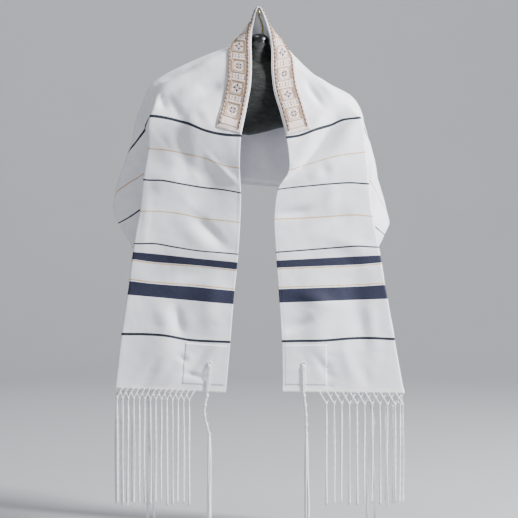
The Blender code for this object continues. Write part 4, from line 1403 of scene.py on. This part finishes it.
@dataclass
class ShoulderForm:
    """The padded shoulder form, its cap and its brass hook, hung a little askew."""

    tilt: float = math.radians(4.9)
    slices: tuple[FormSlice, ...] = (
        FormSlice(0.000, -124, -328, -75, 46),
        FormSlice(0.045, -134, -325, -75, 46),
        FormSlice(0.075, -146, -320, -70, 45),
        FormSlice(0.110, -158, -311, -62, 42),
        FormSlice(0.145, -168, -300, -52, 37),
        FormSlice(0.175, -178, -288, -43, 30),
        FormSlice(0.195, -188, -272, -31, 24),
        FormSlice(0.207, -204, -250, -17, 14),
    )
    sides: int = 48
    lower_squareness: float = 0.7
    neck_half_width: float = 34 * MM
    neck_half_depth: float = 33 * MM
    neck_x: float = 8 * MM
    neck_y: float = -4 * MM
    neck_foot: float = -150 * MM
    neck_top: float = -92 * MM
    cap_half: float = 27 * MM
    cap_top: float = -66 * MM
    wire_half: float = 2.6 * MM
    hook_foot_x: float = 14 * MM
    rise_start: float = 4 * MM
    rise_end: float = 75 * MM
    bottom_rise: float = 17 * MM
    hook_bend: float = 8 * MM

    def body_points(self) -> np.ndarray:
        """Returns the rings of the padded body, from one shoulder to the other."""
        knots = [row.across / MM for row in self.slices]
        spots = np.concatenate([
            np.linspace(-0.207, -0.195, 3),
            np.linspace(-0.19, 0.19, 39),
            np.linspace(0.195, 0.207, 3),
        ])
        rings = []
        for x in spots:
            top, bottom, front, back = smooth_columns(
                knots, [row[1:] for row in self.slices], [abs(x) / MM]
            )[0] * MM
            risen = (x - self.rise_start) / (self.rise_end - self.rise_start)
            bottom += self.bottom_rise * min(max(risen, 0), 1)
            ring = []
            for side in range(self.sides + 1):
                angle = 2 * math.pi * (side % self.sides) / self.sides
                power = 1 if math.sin(angle) > 0 else self.lower_squareness
                y = math.copysign(abs(math.cos(angle)) ** power, math.cos(angle))
                z = math.copysign(abs(math.sin(angle)) ** power, math.sin(angle))
                ring.append((
                    x,
                    (front + back) / 2 + (back - front) / 2 * y,
                    (top + bottom) / 2 + (top - bottom) / 2 * z,
                ))
            rings.append(ring)
        return np.array(rings)

    def make_body(self, finish: bpy.types.Material) -> bpy.types.Object:
        """Makes the padded body and its neck."""
        shape = bmesh.new()
        lay_grid(shape, self.body_points())
        profile = [
            (self.neck_foot, 1.5), (-136 * MM, 1.26), (-120 * MM, 1.09),
            (-104 * MM, 1.01), (self.neck_top, 1.0),
        ]
        self.spin_profile(shape, profile, self.neck_half_width, self.neck_half_depth)
        close_tubes(shape)
        bmesh.ops.transform(shape, matrix=Matrix.Rotation(self.tilt, 4, "Y"), verts=shape.verts)
        body = keep_piece("padded_form", shape, Kept(finish, "form_cover", ("shoulder_form",)))
        return body

    def spin_profile(
        self,
        shape: bmesh.types.BMesh,
        profile: Sequence[tuple[float, float]],
        half_width: float,
        half_depth: float,
    ) -> None:
        """Adds a turned shape.

        Args:
            shape: the bmesh to add to.
            profile: heights with the share of the half width there.
            half_width: its half width.
            half_depth: its half depth.
        """
        rings = []
        for height, share in profile:
            ring = []
            for side in range(self.sides + 1):
                angle = 2 * math.pi * (side % self.sides) / self.sides
                ring.append((
                    self.neck_x + half_width * share * math.cos(angle),
                    self.neck_y + half_depth * share * math.sin(angle),
                    height,
                ))
            rings.append(ring)
        lay_grid(shape, np.array(rings))

    def make_cap(self, finish: bpy.types.Material) -> bpy.types.Object:
        """Makes the moulded cap on the neck, with a rolled rim."""
        low = self.neck_top + 0.3 * MM
        height = self.cap_top - self.neck_top
        profile = [
            (0, 0.98), (0.03, 1.0), (0.10, 1.0), (0.13, 0.965), (0.17, 0.965),
            (0.45, 0.955), (0.62, 0.90), (0.80, 0.75), (0.92, 0.58), (1.0, 0.42),
        ]
        shape = bmesh.new()
        rings = [(low + height * share, half) for share, half in profile]
        self.spin_profile(shape, rings, self.cap_half, self.cap_half)
        close_tubes(shape)
        bmesh.ops.transform(shape, matrix=Matrix.Rotation(self.tilt, 4, "Y"), verts=shape.verts)
        return keep_piece("moulded_cap", shape, Kept(finish, "cap_plastic", ("neck_cap",)))

    def make_hook(self, finish: bpy.types.Material) -> bpy.types.Object:
        """Makes the brass hook, with a small collar where it leaves the cap."""
        tilt = Matrix.Rotation(self.tilt, 3, "Y")
        foot = Vector((self.hook_foot_x, self.neck_y, self.cap_top + 0.6 * MM))
        stem = [tilt @ foot, tilt @ (foot + Vector((0, 0, self.hook_bend)))]
        stem.append(Vector((6 * MM, 2 * MM, -34 * MM)))
        centre = Vector((0, 0, -self.hook_bend - self.wire_half))
        for step in range(19):
            angle = math.radians(235 * step / 18 - 30)
            around = Vector((0, self.hook_bend * math.cos(angle), self.hook_bend * math.sin(angle)))
            stem.append(centre + around)
        shape = bmesh.new()
        add_tube(shape, smooth_path(stem, 1.2 * MM), self.wire_half, 16)
        collar = [(0, 1.9), (0.5, 2.3), (1.6, 2.3), (2.2, 1.9), (3.0, 1.25)]
        path = [tilt @ (foot + Vector((0, 0, height * MM))) for height, _ in collar]
        add_tube(shape, path, [self.wire_half * share for _, share in collar], 20)
        close_tubes(shape)
        return keep_piece("brass_hook", shape, Kept(finish, "brass", ("hanger_hook",)))


@dataclass
class Studio:
    """The plain pale floor, the soft lights and the camera at the photograph's viewing angle."""

    floor_height: float = -1.332
    floor_reach: float = 4.6
    wall_bend: float = 2.2
    wall_height: float = 6.0
    camera_place: tuple[float, float, float] = (0.0, -3.72, -0.646)
    lens: float = 100.08
    sensor: float = 36.0

    def make_floor(self) -> None:
        """Makes the floor."""
        shape = bmesh.new()
        profile = [shape.verts.new((0.0, 0.0, 0.0))]
        profile.append(shape.verts.new((self.floor_reach, 0.0, 0.0)))
        for step in range(1, 13):
            angle = math.pi / 2 * step / 12
            out = self.floor_reach + self.wall_bend * math.sin(angle)
            profile.append(shape.verts.new((out, 0.0, self.wall_bend * (1 - math.cos(angle)))))
        profile.append(shape.verts.new((self.floor_reach + self.wall_bend, 0.0, self.wall_height)))
        edges = [shape.edges.new(pair) for pair in zip(profile, profile[1:])]
        bmesh.ops.spin(
            shape, geom=profile + edges, cent=(0, 0, 0), axis=(0, 0, 1), dvec=(0, 0, 0),
            angle=2 * math.pi, steps=96, use_merge=True, use_duplicate=False,
        )
        bmesh.ops.remove_doubles(shape, verts=shape.verts, dist=1e-5)
        bmesh.ops.recalc_face_normals(shape, faces=shape.faces)
        bmesh.ops.translate(shape, vec=(0, 0, self.floor_height), verts=shape.verts)
        mesh = bpy.data.meshes.new("studio_floor")
        shape.to_mesh(mesh)
        shape.free()
        mesh.materials.append(StudioPaper().make("studio_paper"))
        mesh.shade_smooth()
        floor = bpy.data.objects.new("studio_floor", mesh)
        bpy.context.collection.objects.link(floor)

    def add_light(
        self, name: str, place: tuple[float, float, float], size: float, power: float,
        target: tuple[float, float, float] = (0, 0, -0.6),
    ) -> None:
        """Adds a soft square light that faces a target, the object unless another is given."""
        lamp = bpy.data.lights.new(name, "AREA")
        lamp.size = size
        lamp.energy = power
        holder = bpy.data.objects.new(name, lamp)
        bpy.context.collection.objects.link(holder)
        holder.location = place
        aim = Vector(target) - Vector(place)
        holder.rotation_euler = aim.to_track_quat("-Z", "Y").to_euler()

    def light(self) -> None:
        """Sets the lights and the pale surroundings."""
        self.add_light("key_light", (3.4, -1.35, 1.8), 0.8, 670)
        self.add_light("top_light", (-0.9, -0.9, 3.1), 1.2, 40)
        self.add_light("front_light", (-0.6, -4.4, 0.3), 1.2, 14)
        self.add_light("back_light", (-1.2, 2.9, 2.0), 1.6, 30)
        self.add_light("backdrop_light", (0, 2.6, 3.4), 2.4, 110, (0, 6.6, 0.2))
        world = bpy.data.worlds.new("surroundings")
        world.use_nodes = True
        background = world.node_tree.nodes["Background"]
        background.inputs["Color"].default_value = (0.68, 0.76, 0.94, 1)
        background.inputs["Strength"].default_value = 0.05
        bpy.context.scene.world = world

    def frame_view(self) -> None:
        """Creates the camera and makes it the scene's own."""
        eye = bpy.data.cameras.new("camera")
        eye.lens = self.lens
        eye.sensor_width = self.sensor
        camera = bpy.data.objects.new("camera", eye)
        bpy.context.collection.objects.link(camera)
        camera.location = self.camera_place
        camera.rotation_euler = (math.pi / 2, 0, 0)
        bpy.context.scene.camera = camera


def main() -> None:
    """Builds the dressed shawl, its form and the studio in order."""
    logging.basicConfig(level=logging.INFO, format="%(message)s")
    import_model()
    studio = Studio()
    studio.frame_view()
    drape = Drape()

    white = Thread((0.96, 0.95, 0.96), (0.90, 0.89, 0.92)).make("white_thread")
    cloth_finish = WovenCloth().make("white_cloth")
    shawl = Shawl(drape)
    cloth = shawl.make_cloth(cloth_finish)
    trims = shawl.make_edges(cloth_finish)
    trims += shawl.make_squares(cloth_finish, white)

    band = Neckband(drape)
    trims.append(band.make_ground(BandSatin().make("band_satin")))
    brown, navy = (0.055, 0.026, 0.020), (0.014, 0.020, 0.070)
    tan, blue = (0.42, 0.22, 0.10), (0.045, 0.07, 0.24)
    rope = Thread((0.020, 0.011, 0.012), (0.50, 0.36, 0.31), 5.8 * MM, slant=0.25).make("border_rope")
    cord = Thread((0.40, 0.22, 0.12), (0.62, 0.42, 0.28), 2.4 * MM).make("border_cord")
    trims += band.make_borders(rope, cord)
    trims.append(band.make_frames(Thread(tan, (0.48, 0.32, 0.17)).make("tan_thread")))
    colours = {
        "blue": Thread(blue, navy, 0.5 * MM).make("blue_stitches"),
        "tan": Thread(tan, (0.60, 0.44, 0.28), 0.5 * MM).make("tan_stitches"),
        "brown": Thread(brown, (0.22, 0.12, 0.08), 0.5 * MM).make("brown_stitches"),
    }
    trims += band.make_motifs(colours)

    hem_finish = WovenCloth((0.97, 0.96, 0.97), (0.92, 0.91, 0.93), stripes=()).make("hem_cloth")
    fringes = (
        Fringe(drape, Hem.LEFT, 18, 92 * MM, 23 * MM),
        Fringe(drape, Hem.RIGHT, 14, 110 * MM, 29 * MM),
    )
    for fringe in fringes:
        trims.append(fringe.make_band(hem_finish))
        trims.append(fringe.make_band_stitches(white))
        trims.append(fringe.make_fringe(white))
    for (hem, edge), hang in HANGS.items():
        trims += Tassel(drape, hem, edge, hang).make(white)

    form = ShoulderForm()
    body = form.make_body(CrushedVelvet().make("crushed_velvet"))
    form.make_cap(MouldedPlastic().make("moulded_plastic"))
    form.make_hook(AgedBrass().make("aged_brass"))

    studio.make_floor()
    studio.light()
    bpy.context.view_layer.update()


if __name__ == "__main__":
    main()
